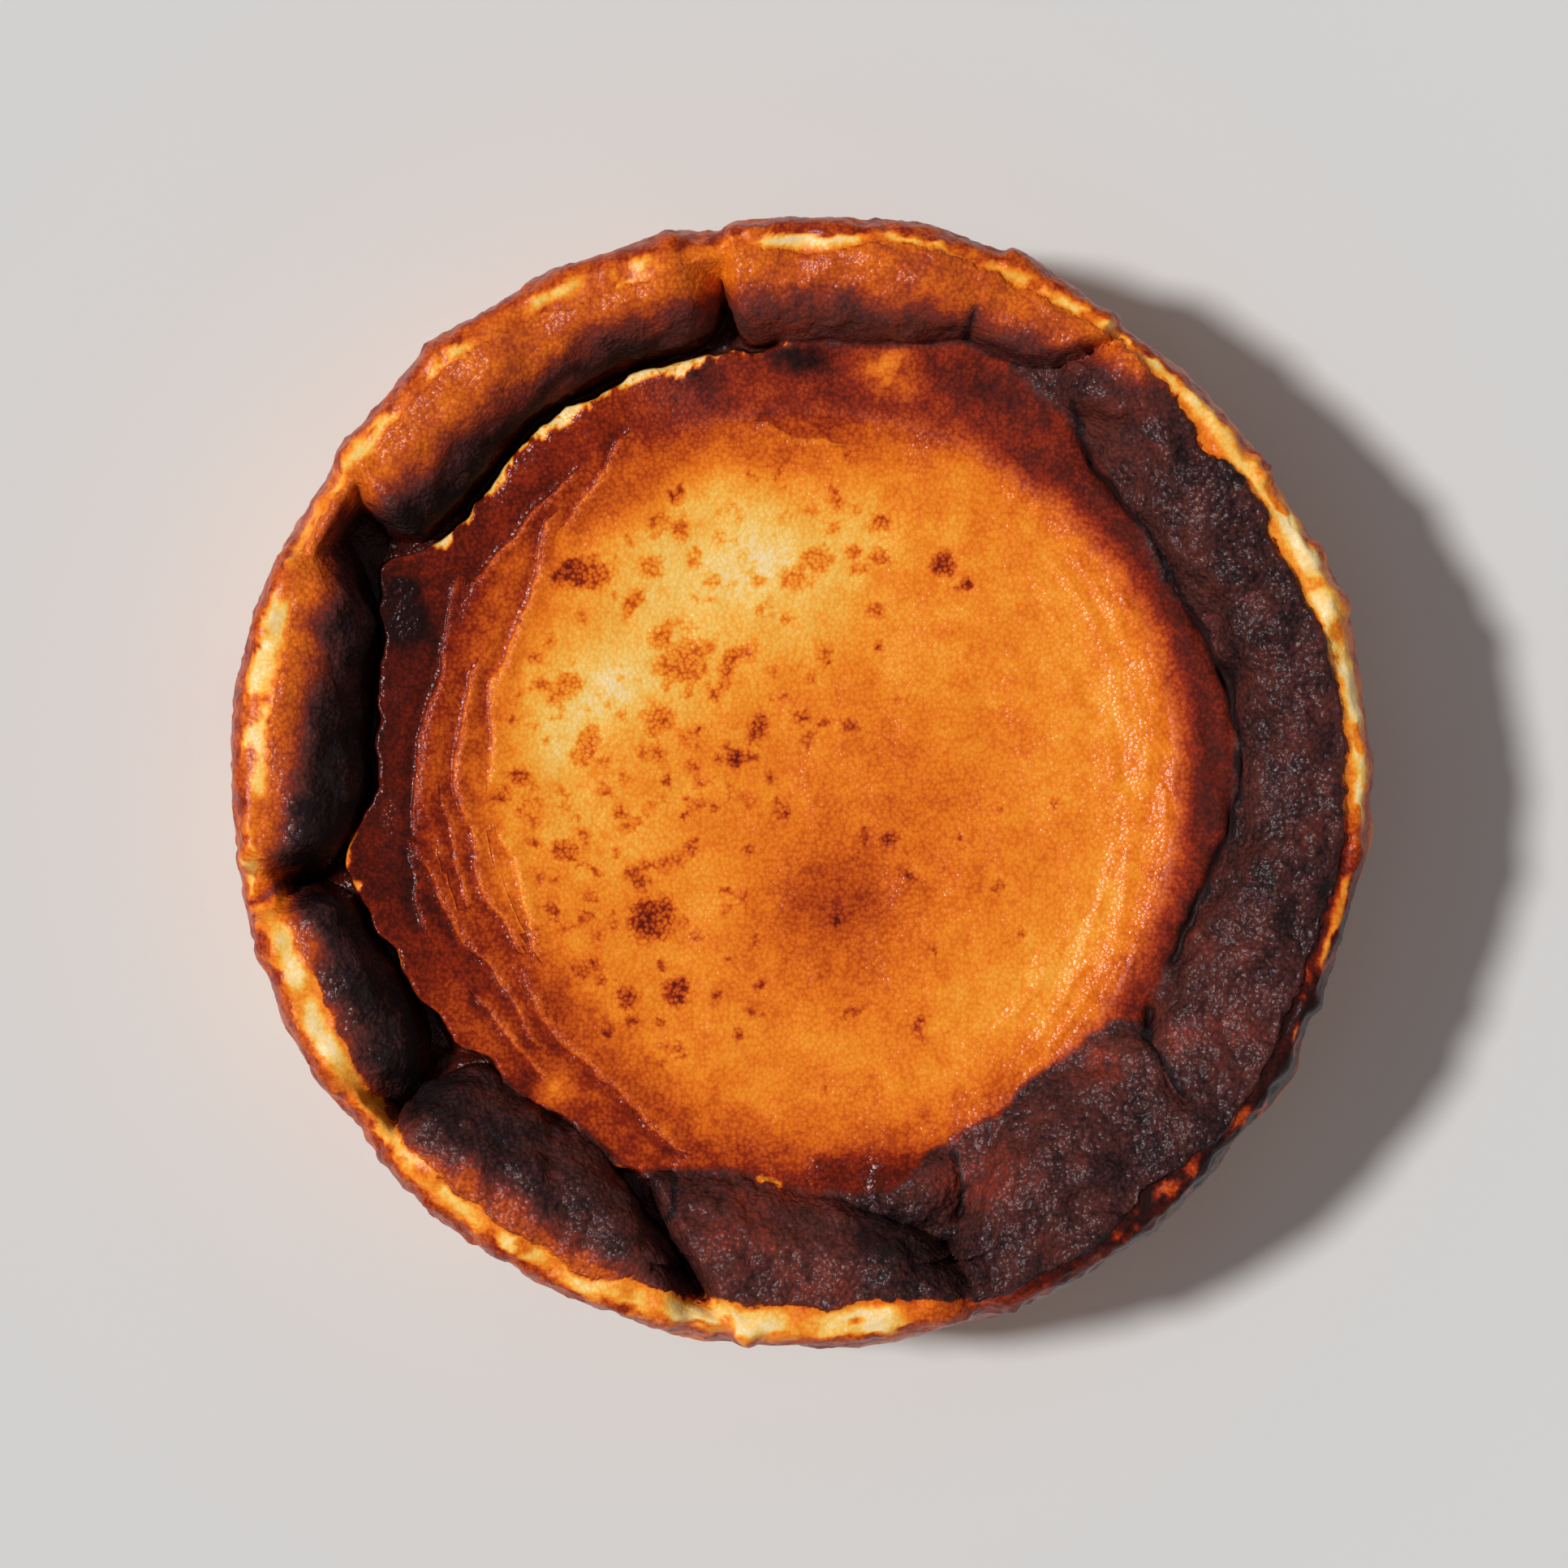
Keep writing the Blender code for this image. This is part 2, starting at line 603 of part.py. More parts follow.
def make_cheesecake(collection):
    """The whole cake, lofted through rings whose shape changes all the way round."""
    body = bmesh.new()
    rings = [[body.verts.new(corner) for corner in ring] for ring in cake_rings()]
    for lower, upper in zip(rings, rings[1:]):
        bridge(body, lower, upper)
    close_ring(body, rings[0], (0.0, 0.0, 0.0), facing_up=False)
    centre_height = float(top_height(np.zeros(1), np.zeros(1))[0])
    close_ring(body, rings[-1], (0.0, 0.0, centre_height * METRES), facing_up=True)
    mesh = bpy.data.meshes.new("cheesecake")
    body.to_mesh(mesh)
    body.free()
    mesh.shade_smooth()
    mesh.set_sharp_from_angle(angle=np.radians(SHARP_ANGLE))
    mesh.materials.append(crust_material())
    cake = bpy.data.objects.new("cheesecake", mesh)
    collection.objects.link(cake)
    return cake


def main():
    clear_scene()
    collection = bpy.data.collections.new("basque_cheesecake")
    bpy.context.scene.collection.children.link(collection)
    make_cheesecake(collection)


main()
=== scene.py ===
"""Looks of a whole basque cheesecake: its blistered crust, torn middle and browned side, with light.

The cake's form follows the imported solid's and adds what its facets leave out: wrinkles, blisters, a
ragged torn edge and the paper's pleats. Lengths are in millimetres and become metres as meshes are
made. Angles are in degrees, anticlockwise from +X as seen from above. "Bake" is how far the crust has
browned, from 0 for pale cream to 1 for burnt.
"""

import bpy
import numpy as np
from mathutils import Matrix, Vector


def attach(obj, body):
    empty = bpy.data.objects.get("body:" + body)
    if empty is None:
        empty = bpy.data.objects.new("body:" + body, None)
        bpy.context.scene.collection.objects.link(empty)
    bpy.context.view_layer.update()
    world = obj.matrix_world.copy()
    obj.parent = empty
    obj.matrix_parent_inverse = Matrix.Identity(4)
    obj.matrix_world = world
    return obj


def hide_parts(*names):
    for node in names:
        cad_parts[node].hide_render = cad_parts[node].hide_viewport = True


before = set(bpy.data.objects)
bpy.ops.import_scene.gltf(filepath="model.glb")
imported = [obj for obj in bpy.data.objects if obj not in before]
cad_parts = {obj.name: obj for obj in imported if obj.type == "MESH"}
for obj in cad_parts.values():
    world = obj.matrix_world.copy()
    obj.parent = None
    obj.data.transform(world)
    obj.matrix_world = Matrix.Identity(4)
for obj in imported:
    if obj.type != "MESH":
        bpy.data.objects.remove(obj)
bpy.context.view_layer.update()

METRES = 0.001
TURN = 360.0

# Side and underside
CAKE_RADIUS = 99.4
WIDEST_HEIGHT = 40.0
SIDE_TAPER = 1.6
TAPER_POWER = 1.5
BOTTOM_ROUND = 1.8
LOWEST_LEVELS = (0.0, 0.5, 1.8)
SIDE_ROWS = 13

# Bulges and hollows of the outline: (angle, half width in degrees, how far out)
BULGES = (
    (3, 10, 1.0), (20, 6, 1.3), (43, 12, -0.7), (66, 5, 1.2), (77, 7, 1.1), (130, 4, 1.6),
    (119, 8, 0.9), (147, 10, 0.9), (168, 14, 1.2), (191, 4, 1.0), (203, 8, 0.5), (252, 30, -0.8),
    (283, 4, -0.6), (318, 5, -0.8), (341, 7, -1.0),
)

# Upright creases that the folded paper left in the side: (angle, half width in degrees, depth)
PLEATS = (
    (8.5, 2.0, 0.9), (31, 2.2, 1.1), (54, 2.0, 1.4), (71, 1.8, 1.2), (86, 2.2, 1.4), (99, 2.0, 1.3),
    (111, 2.4, 1.5), (125, 2.0, 0.9), (149, 2.2, 1.2), (165, 2.2, 1.5), (185, 2.4, 1.0),
    (197, 2.2, 1.2), (217, 2.0, 1.3), (236, 2.2, 1.4), (251, 1.8, 1.6), (268, 2.2, 1.0),
    (285, 2.2, 1.5), (303, 2.0, 1.1), (322, 2.2, 1.4), (334, 2.0, 1.2), (346, 2.2, 1.4),
)
PLEAT_TOP = 57.0
PLEAT_BOTTOM = 6.0

# Outer wall of the rim
WALL_CREST = 94.0
WALL_TOP = (
    (20, 53.5), (62, 55.0), (85, 56.0), (100, 58.4), (120, 56.0), (151, 57.8), (175, 55.5), (191, 55.4),
    (216, 56.4), (236, 54.5), (257, 56.2), (270, 54.5), (289, 55.6), (300, 53.5),
)
WALL_FOOT = (
    (20, 89.5), (85, 88.5), (100, 87.6), (120, 89.0), (150, 91.6), (175, 90.5), (191, 91.0),
    (216, 91.4), (257, 90.0), (289, 90.0), (320, 89.5),
)

# Rolls of the rim: angles of each end at the inner foot and at the outer edge, (angle, radius) places of
# the inner foot, the ridge's radius at each end, its level, the length of the rounding at each end, how
# full the roll's section is, and how the ends move from the foot's angles to the outer edge's
ROLLS = {
    "left_upper": {
        "start": (98.6, 98.4),
        "end": (150.5, 147.5),
        "foot": ((99, 77.4), (107, 78.8), (118, 79.0), (125, 79.4), (132, 78.0), (140, 77.2), (148, 78.6)),
        "crest": (89.6, 90.6),
        "top": 59.6,
        "ends": (10.0, 6.0),
        "swell": 0.5,
        "lean": 1.0,
    },
    "left": {
        "start": (154.0, 151.5),
        "end": (189.5, 190.6),
        "foot": ((153, 80.6), (160, 78.4), (170, 76.8), (180, 76.0), (185, 77.6), (189, 79.0)),
        "crest": (92.4, 89.0),
        "top": 60.4,
        "ends": (13.0, 7.0),
        "swell": 0.5,
        "lean": 1.0,
    },
    "left_lower": {
        "start": (191.5, 191.2),
        "end": (218.2, 217.4),
        "foot": ((191, 80.2), (198, 79.4), (206, 77.6), (215, 76.6), (218, 75.6)),
        "crest": (89.0, 89.4),
        "top": 59.2,
        "ends": (7.0, 13.0),
        "swell": 0.5,
        "lean": 1.0,
    },
    "front_left": {
        "start": (218.0, 218.8),
        "end": (244.0, 261.0),
        "foot": ((217, 76.6), (220.5, 72.8), (225, 73.4), (230, 72.2), (236, 71.4), (245, 73.0),
                 (257, 77.0)),
        "crest": (86.8, 86.0),
        "top": 59.8,
        "ends": (6.0, 10.0),
        "swell": 0.6,
        "lean": 0.75,
    },
    "front": {
        "start": (238.0, 260.5),
        "end": (277.0, 291.5),
        "foot": ((242, 74.6), (252, 70.4), (260, 68.1), (270, 70.0), (282, 72.4)),
        "crest": (84.0, 85.5),
        "top": 59.2,
        "ends": (5.0, 11.0),
        "swell": 0.65,
        "lean": 0.6,
    },
    "right": {
        "start": (291.0, 284.0),
        "end": (424.0, 418.0),
        "foot": ((282, 72.0), (290, 67.0), (301, 66.2), (308, 64.4), (314, 66.0), (322, 67.0),
                 (326, 71.8), (332, 70.8), (341, 70.6), (350, 73.4), (361, 75.0), (370, 75.8),
                 (382, 74.8), (388.5, 72.0), (396, 73.6), (402, 75.2), (412, 77.8), (424, 80.5)),
        "crest": (86.5, 87.5),
        "top": 57.6,
        "ends": (14.0, 8.0),
        "swell": 0.85,
        "lean": 1.0,
    },
    "back": {
        "start": (59.6, 54.0),
        "end": (74.5, 75.5),
        "foot": ((58, 82.6), (66, 81.8), (72, 82.6)),
        "crest": (89.4, 89.6),
        "top": 59.6,
        "ends": (5.0, 8.0),
        "swell": 0.5,
        "lean": 1.0,
    },
    "back_left": {
        "start": (66.5, 64.5),
        "end": (99.0, 99.6),
        "foot": ((68, 82.6), (75, 79.4), (81, 77.4), (98, 77.0)),
        "crest": (89.4, 89.2),
        "top": 60.2,
        "ends": (8.0, 3.5),
        "swell": 0.5,
        "lean": 1.0,
    },
}
ROLL_SOFTNESS = 0.9
SHOULDER_POWER = 8.0
ROLL_SETTING = 2.5

# Sunken middle
DISC_LEVEL = 46.2
DISC_RISE = 2.6
DISC_EDGE = 76.0
SLOPE_RISE = 2.6
SLOPE_MIDDLE = 355.0
SLOPE_REACH = 85.0
SLOPE_START = 48.0
LIP_CURL = 0.9
LIP_CURL_WIDTH = 3.5

# Torn edge of the middle's crust: (angle, radius)
TORN_EDGE = (
    (70, 84), (90, 78.5), (95, 76.8), (100, 76.4), (107, 77.6), (118, 77.8), (124, 78.2), (130, 77.6),
    (136, 76.2), (144, 75.6), (148, 77.6), (152.5, 83.2), (156, 81.2), (160, 77.6), (168, 75.9),
    (180, 75.0), (190, 81.2), (198, 78.6), (206, 76.6), (216, 75.6), (220.5, 72.6), (225, 73.6),
    (230, 72.6), (236, 72.0), (245, 73.8), (251, 72.0), (262, 74.0), (290, 84), (360, 88),
)
# Places where that edge is lifted: (angle, half width in degrees, height)
LIFTS = ((152.5, 3.2, 1.2), (190.0, 4.5, 1.8))

# Gap between the rim and the torn edge
GAP_FLOOR = 38.5
SHUT_FLOOR = 44.5
GAP_ENDS = ((92.0, 103.0), (212.0, 224.0))
TEAR_WIDTH = 1.3
CRUST_THICKNESS = 0.5

# Creases in the rim's crust: points (angle, radius), half width, depth
CREASES = (
    (((191.6, 99.0), (190.8, 92.0), (190.0, 87.0)), 2.4, 4.0),
    (((10.8, 92.5), (11.2, 85.0), (12.5, 78.0)), 1.6, 0.6),
    (((29.0, 88.0), (29.5, 80.0), (28.5, 73.0)), 1.8, 0.8), (((252.8, 77.5), (251.6, 71.0)), 1.0, 1.2),
    (((320.5, 86.0), (321.6, 81.0), (323.5, 75.0), (327.0, 71.0)), 1.4, 2.4),
    (((318.3, 71.5), (320.4, 75.0), (321.0, 79.0)), 1.2, 0.8),
    (((291.9, 69.5), (291.6, 72.0), (291.0, 75.3), (289.8, 79.2)), 1.1, 0.9),
    (((334.0, 71.2), (341.0, 71.2), (349.5, 73.0), (358.5, 75.8), (368.8, 76.1), (375.0, 75.6)), 0.8, 1.5),
    (((14.0, 75.6), (19.0, 75.0), (27.1, 73.6), (33.0, 74.3), (40.0, 74.4), (48.0, 75.6)), 0.8, 1.5),
    (((48.0, 75.6), (52.0, 78.0), (55.0, 81.5)), 0.8, 1.0),
    (((353.0, 91.0), (354.5, 82.0), (355.0, 75.5)), 1.8, 0.6), (((70.2, 87.5), (70.0, 82.0)), 1.3, 1.2),
)

# Wrinkles in the middle's crust: first and last angle, radius at the start, middle and end, depth and
# half width
WRINKLES = (
    (126, 158, 68.2, 68.6, 67.2, 0.9, 1.4), (156, 189, 67.2, 67.2, 67.6, 1.1, 1.4),
    (188, 212, 69.5, 66.4, 64.2, 1.0, 1.3), (138, 166, 60.8, 58.2, 56.2, 0.7, 1.2),
    (160, 202, 61.4, 61.2, 59.6, 0.8, 1.2), (212, 232, 60.0, 61.2, 61.8, 0.5, 1.3),
)
RIDGE_SHARE = 0.6
WRINKLES_SHARE = 0.35

# Folds of the middle's thin skin, each an (angle, radius) line, in groups whose lines keep clear of
# each other
FOLDS = (
    (
        ((127, 67.6), (134.6, 67.0), (142.6, 66.7), (147.5, 68.0)),
        ((150.5, 70.6), (157.4, 67.6), (162.5, 66.5), (167.2, 67.0), (173.2, 67.3), (180, 67.3),
         (186, 68.0)),
        ((189, 69.0), (194, 69.9), (199.5, 70.9)),
        ((218, 59.9), (221.5, 61.1), (226.6, 61.5), (232.6, 61.6), (238.7, 62.3), (243, 63.6),
         (250.3, 66.9)),
    ),
    (
        ((133.9, 64.4), (143, 58.9), (149.8, 57.7), (157, 56.4), (161.7, 57.5), (169.6, 55.2),
         (177.8, 54.6)),
        ((182.8, 62.5), (187.4, 61.8), (192.6, 62.8), (198, 62.0)),
        ((190, 68.0), (196.9, 66.4), (203, 65.8), (207.9, 63.8), (217.5, 63.1), (223, 64.4)),
        ((96, 63.5), (92, 60.6), (86, 60.2)),
    ),
    (
        ((160.9, 60.8), (166.8, 61.0), (174.3, 60.9), (180.5, 60.6), (184.3, 59.5), (187.9, 58.4),
         (193.3, 59.4), (200, 58.5), (208, 57.5)),
        ((190, 54.4), (194.3, 52.4), (199.2, 52.3), (211, 55.1)),
        ((214, 67.8), (221, 67.4), (227, 68.0)),
        ((118, 68.5), (125, 64.0), (131, 61.5)),
    ),
)
FOLD_LIFT = (0.52, 0.40, 0.46)
FOLD_FAR = 6.0
FOLD_SWAY = 0.7
CREASE_SWAY = 1.1

# Uneven swelling of the baked surface: lumps about this far apart, this high on the rim
SWELLING = ((31.0, 0.9), (17.0, 0.55), (9.5, 0.3))
SWELLING_ON_DISC = 0.22
SWELLING_WAVES = 5
SWELLING_SEED = 7
WOBBLE = 0.9
WOBBLE_RATE = 2.3

# Small knobs that swell out of the middle beside the rolls: x, y, half length, half width, tilt, height
KNOBS = ((20.0, -70.5, 9.0, 7.4, -15, 3.6),)

# How finely the surface is cut: columns round the rim, rows in from the widest place to the middle, and
# the middle's bands as columns, outer and inner radius, and rows
COLUMNS = 768
RIM_ROWS = 92
MIDDLE_RADIUS = 62.0
MIDDLE_BANDS = ((384, 62.0, 34.0, 34), (192, 34.0, 17.0, 18), (96, 17.0, 8.0, 9), (48, 8.0, 1.2, 7))
PROFILE_SAMPLES = 900
COLUMN_SAMPLES = 3601
FOLD_ANGLES = (10, 28, 55, 70, 99, 102, 150, 154, 190, 193, 216, 219, 250, 257, 285, 290, 323, 353)
FOLD_CROWDING = 0.5
FOLD_REACH = 3.0

# Where the light outer band meets the rim's dark crust: (angle, radius)
BAND_EDGE = (
    (0, 93.4), (15, 93.9), (20, 92.7), (28, 91.3), (31, 93.0), (38, 91.6), (40, 89.9), (43, 92.0),
    (53, 94.0), (62, 93.0), (72, 94.2), (80, 94.4), (88, 92.0), (97, 93.7), (105, 91.6), (111, 90.9),
    (122, 93.4), (128, 95.0), (140, 93.9), (154, 95.7), (163, 93.2), (173, 92.3), (180, 92.0),
    (188, 94.4), (190.5, 97.0), (193, 94.8), (196, 92.0), (204, 90.6), (218, 91.8), (228, 91.8),
    (240, 92.0), (246, 92.7), (252, 90.6), (265, 89.9), (277, 90.0), (285, 91.3), (290, 94.1),
    (300, 93.9), (310, 92.0), (325, 93.7), (340, 92.0), (352, 93.4),
)

# Browning of that band: (angle, bake); from 290 to 350 degrees the high values are partly browned crust and
# partly painted shade on the band that faces away from the light
BAND_BAKE_AND_SHADE = (
    (0, 0.46), (10, 0.38), (30, 0.36), (48, 0.40), (58, 0.52), (70, 0.60), (85, 0.56), (100, 0.50),
    (115, 0.56), (125, 0.52), (140, 0.52), (155, 0.56), (170, 0.54), (185, 0.52), (195, 0.40),
    (215, 0.40), (235, 0.42), (255, 0.40), (272, 0.46), (283, 0.56), (290, 0.70), (298, 0.88),
    (312, 0.96), (325, 0.98), (340, 0.94), (352, 0.74),
)
# Cream patches of that band: first and last angle, middle radius, half width, share
CREAMS = (
    (-4, 16, 96.6, 1.6, 0.9), (14, 50, 95.6, 2.2, 1.0), (49, 56, 95.3, 1.4, 0.9),
    (55, 63, 94.6, 1.4, 0.9), (63, 71.5, 95.2, 1.2, 0.8), (73, 81.5, 95.9, 1.3, 0.9),
    (84.5, 96, 94.6, 1.6, 0.9), (106, 113, 93.8, 2.0, 0.9), (114, 120, 94.8, 1.2, 0.8),
    (126, 148, 96.2, 1.8, 0.8), (150, 157, 96.8, 1.2, 0.5), (160, 181, 95.4, 2.4, 0.9),
    (184, 193, 97.0, 1.6, 0.6), (194.5, 201.5, 93.6, 1.9, 1.0), (203.5, 212.5, 93.8, 1.9, 1.0),
    (216.5, 224.5, 93.8, 2.0, 0.95), (226, 233, 93.9, 2.0, 0.95), (235, 241, 92.9, 2.2, 0.95),
    (243.5, 252.5, 93.9, 2.3, 0.95), (255, 268, 93.2, 2.5, 1.0), (271.5, 281, 93.8, 3.0, 1.0),
    (331, 334, 95.4, 0.7, 0.6), (341, 350, 96.0, 1.4, 0.6),
)
CREAM_BAKE = 0.03
# Share of those patches that brown blots break up: (angle, share)
BLOTS = (
    (0, 0.25), (30, 0.22), (60, 0.55), (100, 0.6), (130, 0.65), (150, 0.66), (165, 0.5), (180, 0.5),
    (200, 0.50), (230, 0.50), (260, 0.45), (280, 0.36), (330, 0.6),
)
# How wide the browned strip along the outline is: (angle, millimetres)
EDGE_STRIP = (
    (0, 1.6), (20, 1.2), (40, 2.0), (55, 2.8), (70, 3.8), (90, 3.6), (115, 3.4), (135, 2.8), (150, 2.6),
    (180, 2.8), (190, 2.2), (205, 3.8), (230, 3.6), (255, 2.8), (275, 2.8), (300, 3.0), (340, 2.6),
)
# How far the band lies below the crust's edge: (angle, millimetres)
LEDGE = ((0, 1.2), (60, 0.8), (90, 0.3), (180, 0.25), (240, 0.4), (270, 0.8), (290, 0.6), (340, 0.9))
# Ragged bits that jut out along the outline: middle angle, half width in degrees, how far
NIBS = (
    (18.5, 2.0, 0.8), (24.6, 1.5, 0.7), (35.0, 2.0, 0.9), (67.5, 2.0, 0.7), (104.0, 1.2, 0.4),
    (130.0, 1.8, 0.7), (163.0, 1.4, 0.5), (197.0, 1.2, 0.4), (228.4, 1.2, 0.6), (263.8, 1.4, 0.7),
    (291.0, 1.3, 0.4), (309.0, 1.8, 0.5), (337.0, 1.2, 0.4), (352.5, 1.8, 0.7),
)

# Browning of the rim's crust outside and inside the turn, and the radius of that turn; inside the turn the
# dark bake is partly burnt crust and partly painted shade on walls turned from the light
CREST_BAKE = (
    (0, 0.91), (30, 0.90), (42, 0.84), (48, 0.70), (54, 0.58), (60, 0.55), (70, 0.54), (80, 0.57),
    (92, 0.54), (100, 0.50), (112, 0.52), (125, 0.53), (135, 0.54), (150, 0.55), (165, 0.53),
    (180, 0.54), (190, 0.48), (200, 0.50), (210, 0.54), (222, 0.60), (240, 0.58), (250, 0.60),
    (262, 0.66), (275, 0.64), (285, 0.80), (295, 0.95), (310, 0.98), (340, 0.94),
)
WALL_BAKE_AND_SHADE = (
    (0, 0.90), (40, 0.92), (50, 0.89), (58, 0.90), (66, 0.93), (78, 0.85), (92, 0.83), (98, 0.80),
    (110, 0.88), (120, 0.86), (130, 0.96), (145, 0.95), (153, 0.91), (165, 0.95), (180, 0.98),
    (215, 0.98), (235, 0.94), (250, 0.88), (262, 0.82), (272, 0.80), (279, 0.94), (286, 0.96),
    (292, 0.86), (302, 0.88), (320, 0.92), (335, 0.88), (347, 0.90),
)
CREST_TURN = (
    (0, 95.0), (42, 93.0), (50, 90.4), (60, 87.2), (66, 86.0), (72, 85.0), (80, 84.2), (90, 84.6),
    (100, 86.0), (110, 86.0), (120, 83.4), (130, 84.8), (140, 85.2), (146, 87.0), (149.5, 92.4),
    (153, 91.0), (158, 88.2), (170, 86.0), (180, 88.0), (190, 91.4), (200, 89.4), (210, 90.2),
    (220, 90.0), (230, 87.4), (240, 87.2), (250, 89.6), (260, 92.0), (270, 91.6), (280, 92.0),
    (290, 95.0), (320, 97.0),
)
CREST_TURN_WIDTH = 5.0
# Redder, lighter areas of the rim's crust, painted where its sheen catches the light, and one darker area
# painted as shade on a roll's far side: x, y, half length, half width, tilt, change of bake
RIM_SHEEN_AND_SHADE = (
    (52.0, -47.0, 5.5, 5.5, 0, -0.12), (25.0, -68.0, 6.0, 5.0, 0, -0.10),
    (-12.0, -76.0, 7.0, 4.0, 0, -0.06), (14.0, -78.0, 6.0, 5.0, 0, 0.06),
    (78.0, 20.0, 4.0, 9.0, 0, -0.05), (66.0, -44.0, 7.0, 5.0, 40, -0.06),
    (39.0, -64.0, 16.0, 9.0, 20, -0.05), (72.0, -26.0, 9.0, 9.0, 0, -0.04),
)

# Where the middle turns from golden to red-brown, and how brown it is at its edge
RING_RADIUS = (
    (0, 67.0), (30, 67.5), (40, 66.5), (50, 66.0), (60, 67.0), (80, 62.5), (90, 60.5), (110, 61.5),
    (121, 60.0), (135, 61.5), (150, 58.6), (165, 58.0), (180, 60.2), (200, 60.6), (215, 57.5),
    (240, 59.5), (270, 62.5), (285, 63.0), (300, 63.6), (320, 65.0), (345, 66.5),
)
RING_BAKE = (
    (0, 0.56), (20, 0.54), (40, 0.54), (90, 0.56), (150, 0.59), (180, 0.64), (220, 0.65), (245, 0.60),
    (270, 0.56), (300, 0.54), (340, 0.56),
)
EDGE_BAKE = (
    (0, 0.84), (10, 0.83), (20, 0.84), (30, 0.82), (40, 0.83), (50, 0.80), (60, 0.77), (75, 0.72),
    (90, 0.73), (99, 0.71), (105, 0.74), (113, 0.70), (130, 0.74), (140, 0.78), (148, 0.76),
    (155, 0.82), (162, 0.86), (175, 0.86), (190, 0.84), (205, 0.76), (220, 0.66), (230, 0.64),
    (240, 0.70), (250, 0.68), (262, 0.68), (275, 0.80), (283, 0.84), (290, 0.64), (300, 0.65),
    (315, 0.68), (322, 0.72), (332, 0.80), (342, 0.84),
)
# Where the middle's edge starts to brown: (angle, radius), and how wide that change is
EDGE_START = (
    (0, 63.5), (20, 64.0), (32, 64.0), (42, 63.5), (55, 62), (80, 61), (90, 59.5), (110, 61), (140, 62),
    (150, 61.5), (160, 61.6), (172, 63.8), (190, 63.8), (200, 62), (210, 60), (235, 60), (260, 61),
    (275, 61), (290, 61.5), (310, 62.0), (330, 62.5), (342, 63), (350, 63.2),
)
EDGE_SPREAD = 8.0
# How coarse the crust's blisters are: (angle, share)
COARSENESS = (
    (0, 1.0), (40, 1.0), (52, 0.7), (60, 0.40), (100, 0.42), (140, 0.46), (190, 0.42), (214, 0.5),
    (222, 0.9), (240, 1.0),
)
# Pale torn slivers along the torn edge: middle angle, half width in degrees, width in millimetres
SLIVERS = (
    (94.5, 2.6, 1.8), (100.0, 2.4, 1.6), (105.5, 3.0, 2.8), (111.5, 4.5, 3.0), (117.5, 2.4, 2.1),
    (123.0, 3.2, 2.0), (128.0, 2.6, 1.6), (134.0, 2.6, 2.1), (139.5, 4.0, 2.6), (145.0, 2.2, 1.9),
    (188.0, 2.4, 1.1), (193.4, 1.6, 1.2), (203.0, 1.2, 0.5), (236.0, 1.2, 0.7), (244.5, 2.0, 0.7),
    (259.0, 2.0, 0.5), (265.0, 2.0, 0.6), (287.0, 2.0, 0.5), (294.0, 0.9, 0.5),
)
# Burnt patches on the middle's edge: x, y, half length, half width, tilt, change of bake
SCORCHES = (
    (-70.4, 33.6, 4.4, 4.2, 0, 0.26), (-69.0, 27.6, 3.6, 3.2, 0, 0.22),
    (-18.5, 71.5, 4.5, 4.0, 20, 0.16), (0.5, 74.5, 6.5, 2.6, 0, 0.24),
    (29.0, 70.5, 9.0, 3.2, -25, 0.14), (14.5, 72.0, 4.5, 4.5, 0, -0.24),
    (-49.0, -52.5, 4.0, 3.2, 0, 0.10), (-43.0, -53.0, 3.4, 2.4, 10, -0.16),
)
MIDDLE_BAKE = 0.42
# Browning of the open gap's floor, partly burnt crust and partly painted shade where the rim shadows it
PIT_BAKE_AND_SHADE = 0.92

# Paler and browner areas of the middle: x, y, half length, half width, tilt, change of bake
PATCHES = (
    (-33.0, 19.0, 17.0, 11.0, 10, -0.26), (-6.0, 41.0, 23.0, 9.0, 5, -0.28),
    (-43.0, 8.0, 7.0, 6.0, 60, -0.22), (-20.0, 33.0, 14.0, 12.0, 0, -0.10),
    (-18.0, 50.0, 18.0, 7.0, 20, -0.10), (-30.0, -10.0, 22.0, 20.0, 0, -0.06),
    (-33.5, 16.5, 6.0, 6.0, 0, -0.12), (-4.0, 37.0, 16.0, 7.0, 0, -0.05),
    (1.0, 26.0, 15.0, 11.0, 0, -0.12), (-40.0, -7.0, 9.0, 8.0, 0, -0.08),
    (6.0, -22.0, 14.0, 12.0, 0, 0.18), (16.0, -6.0, 24.0, 18.0, 0, 0.07),
    (46.0, 24.0, 15.0, 26.0, 10, -0.05), (52.0, -8.0, 12.0, 22.0, 0, -0.02),
    (42.0, -34.0, 20.0, 9.0, 35, -0.09),
)

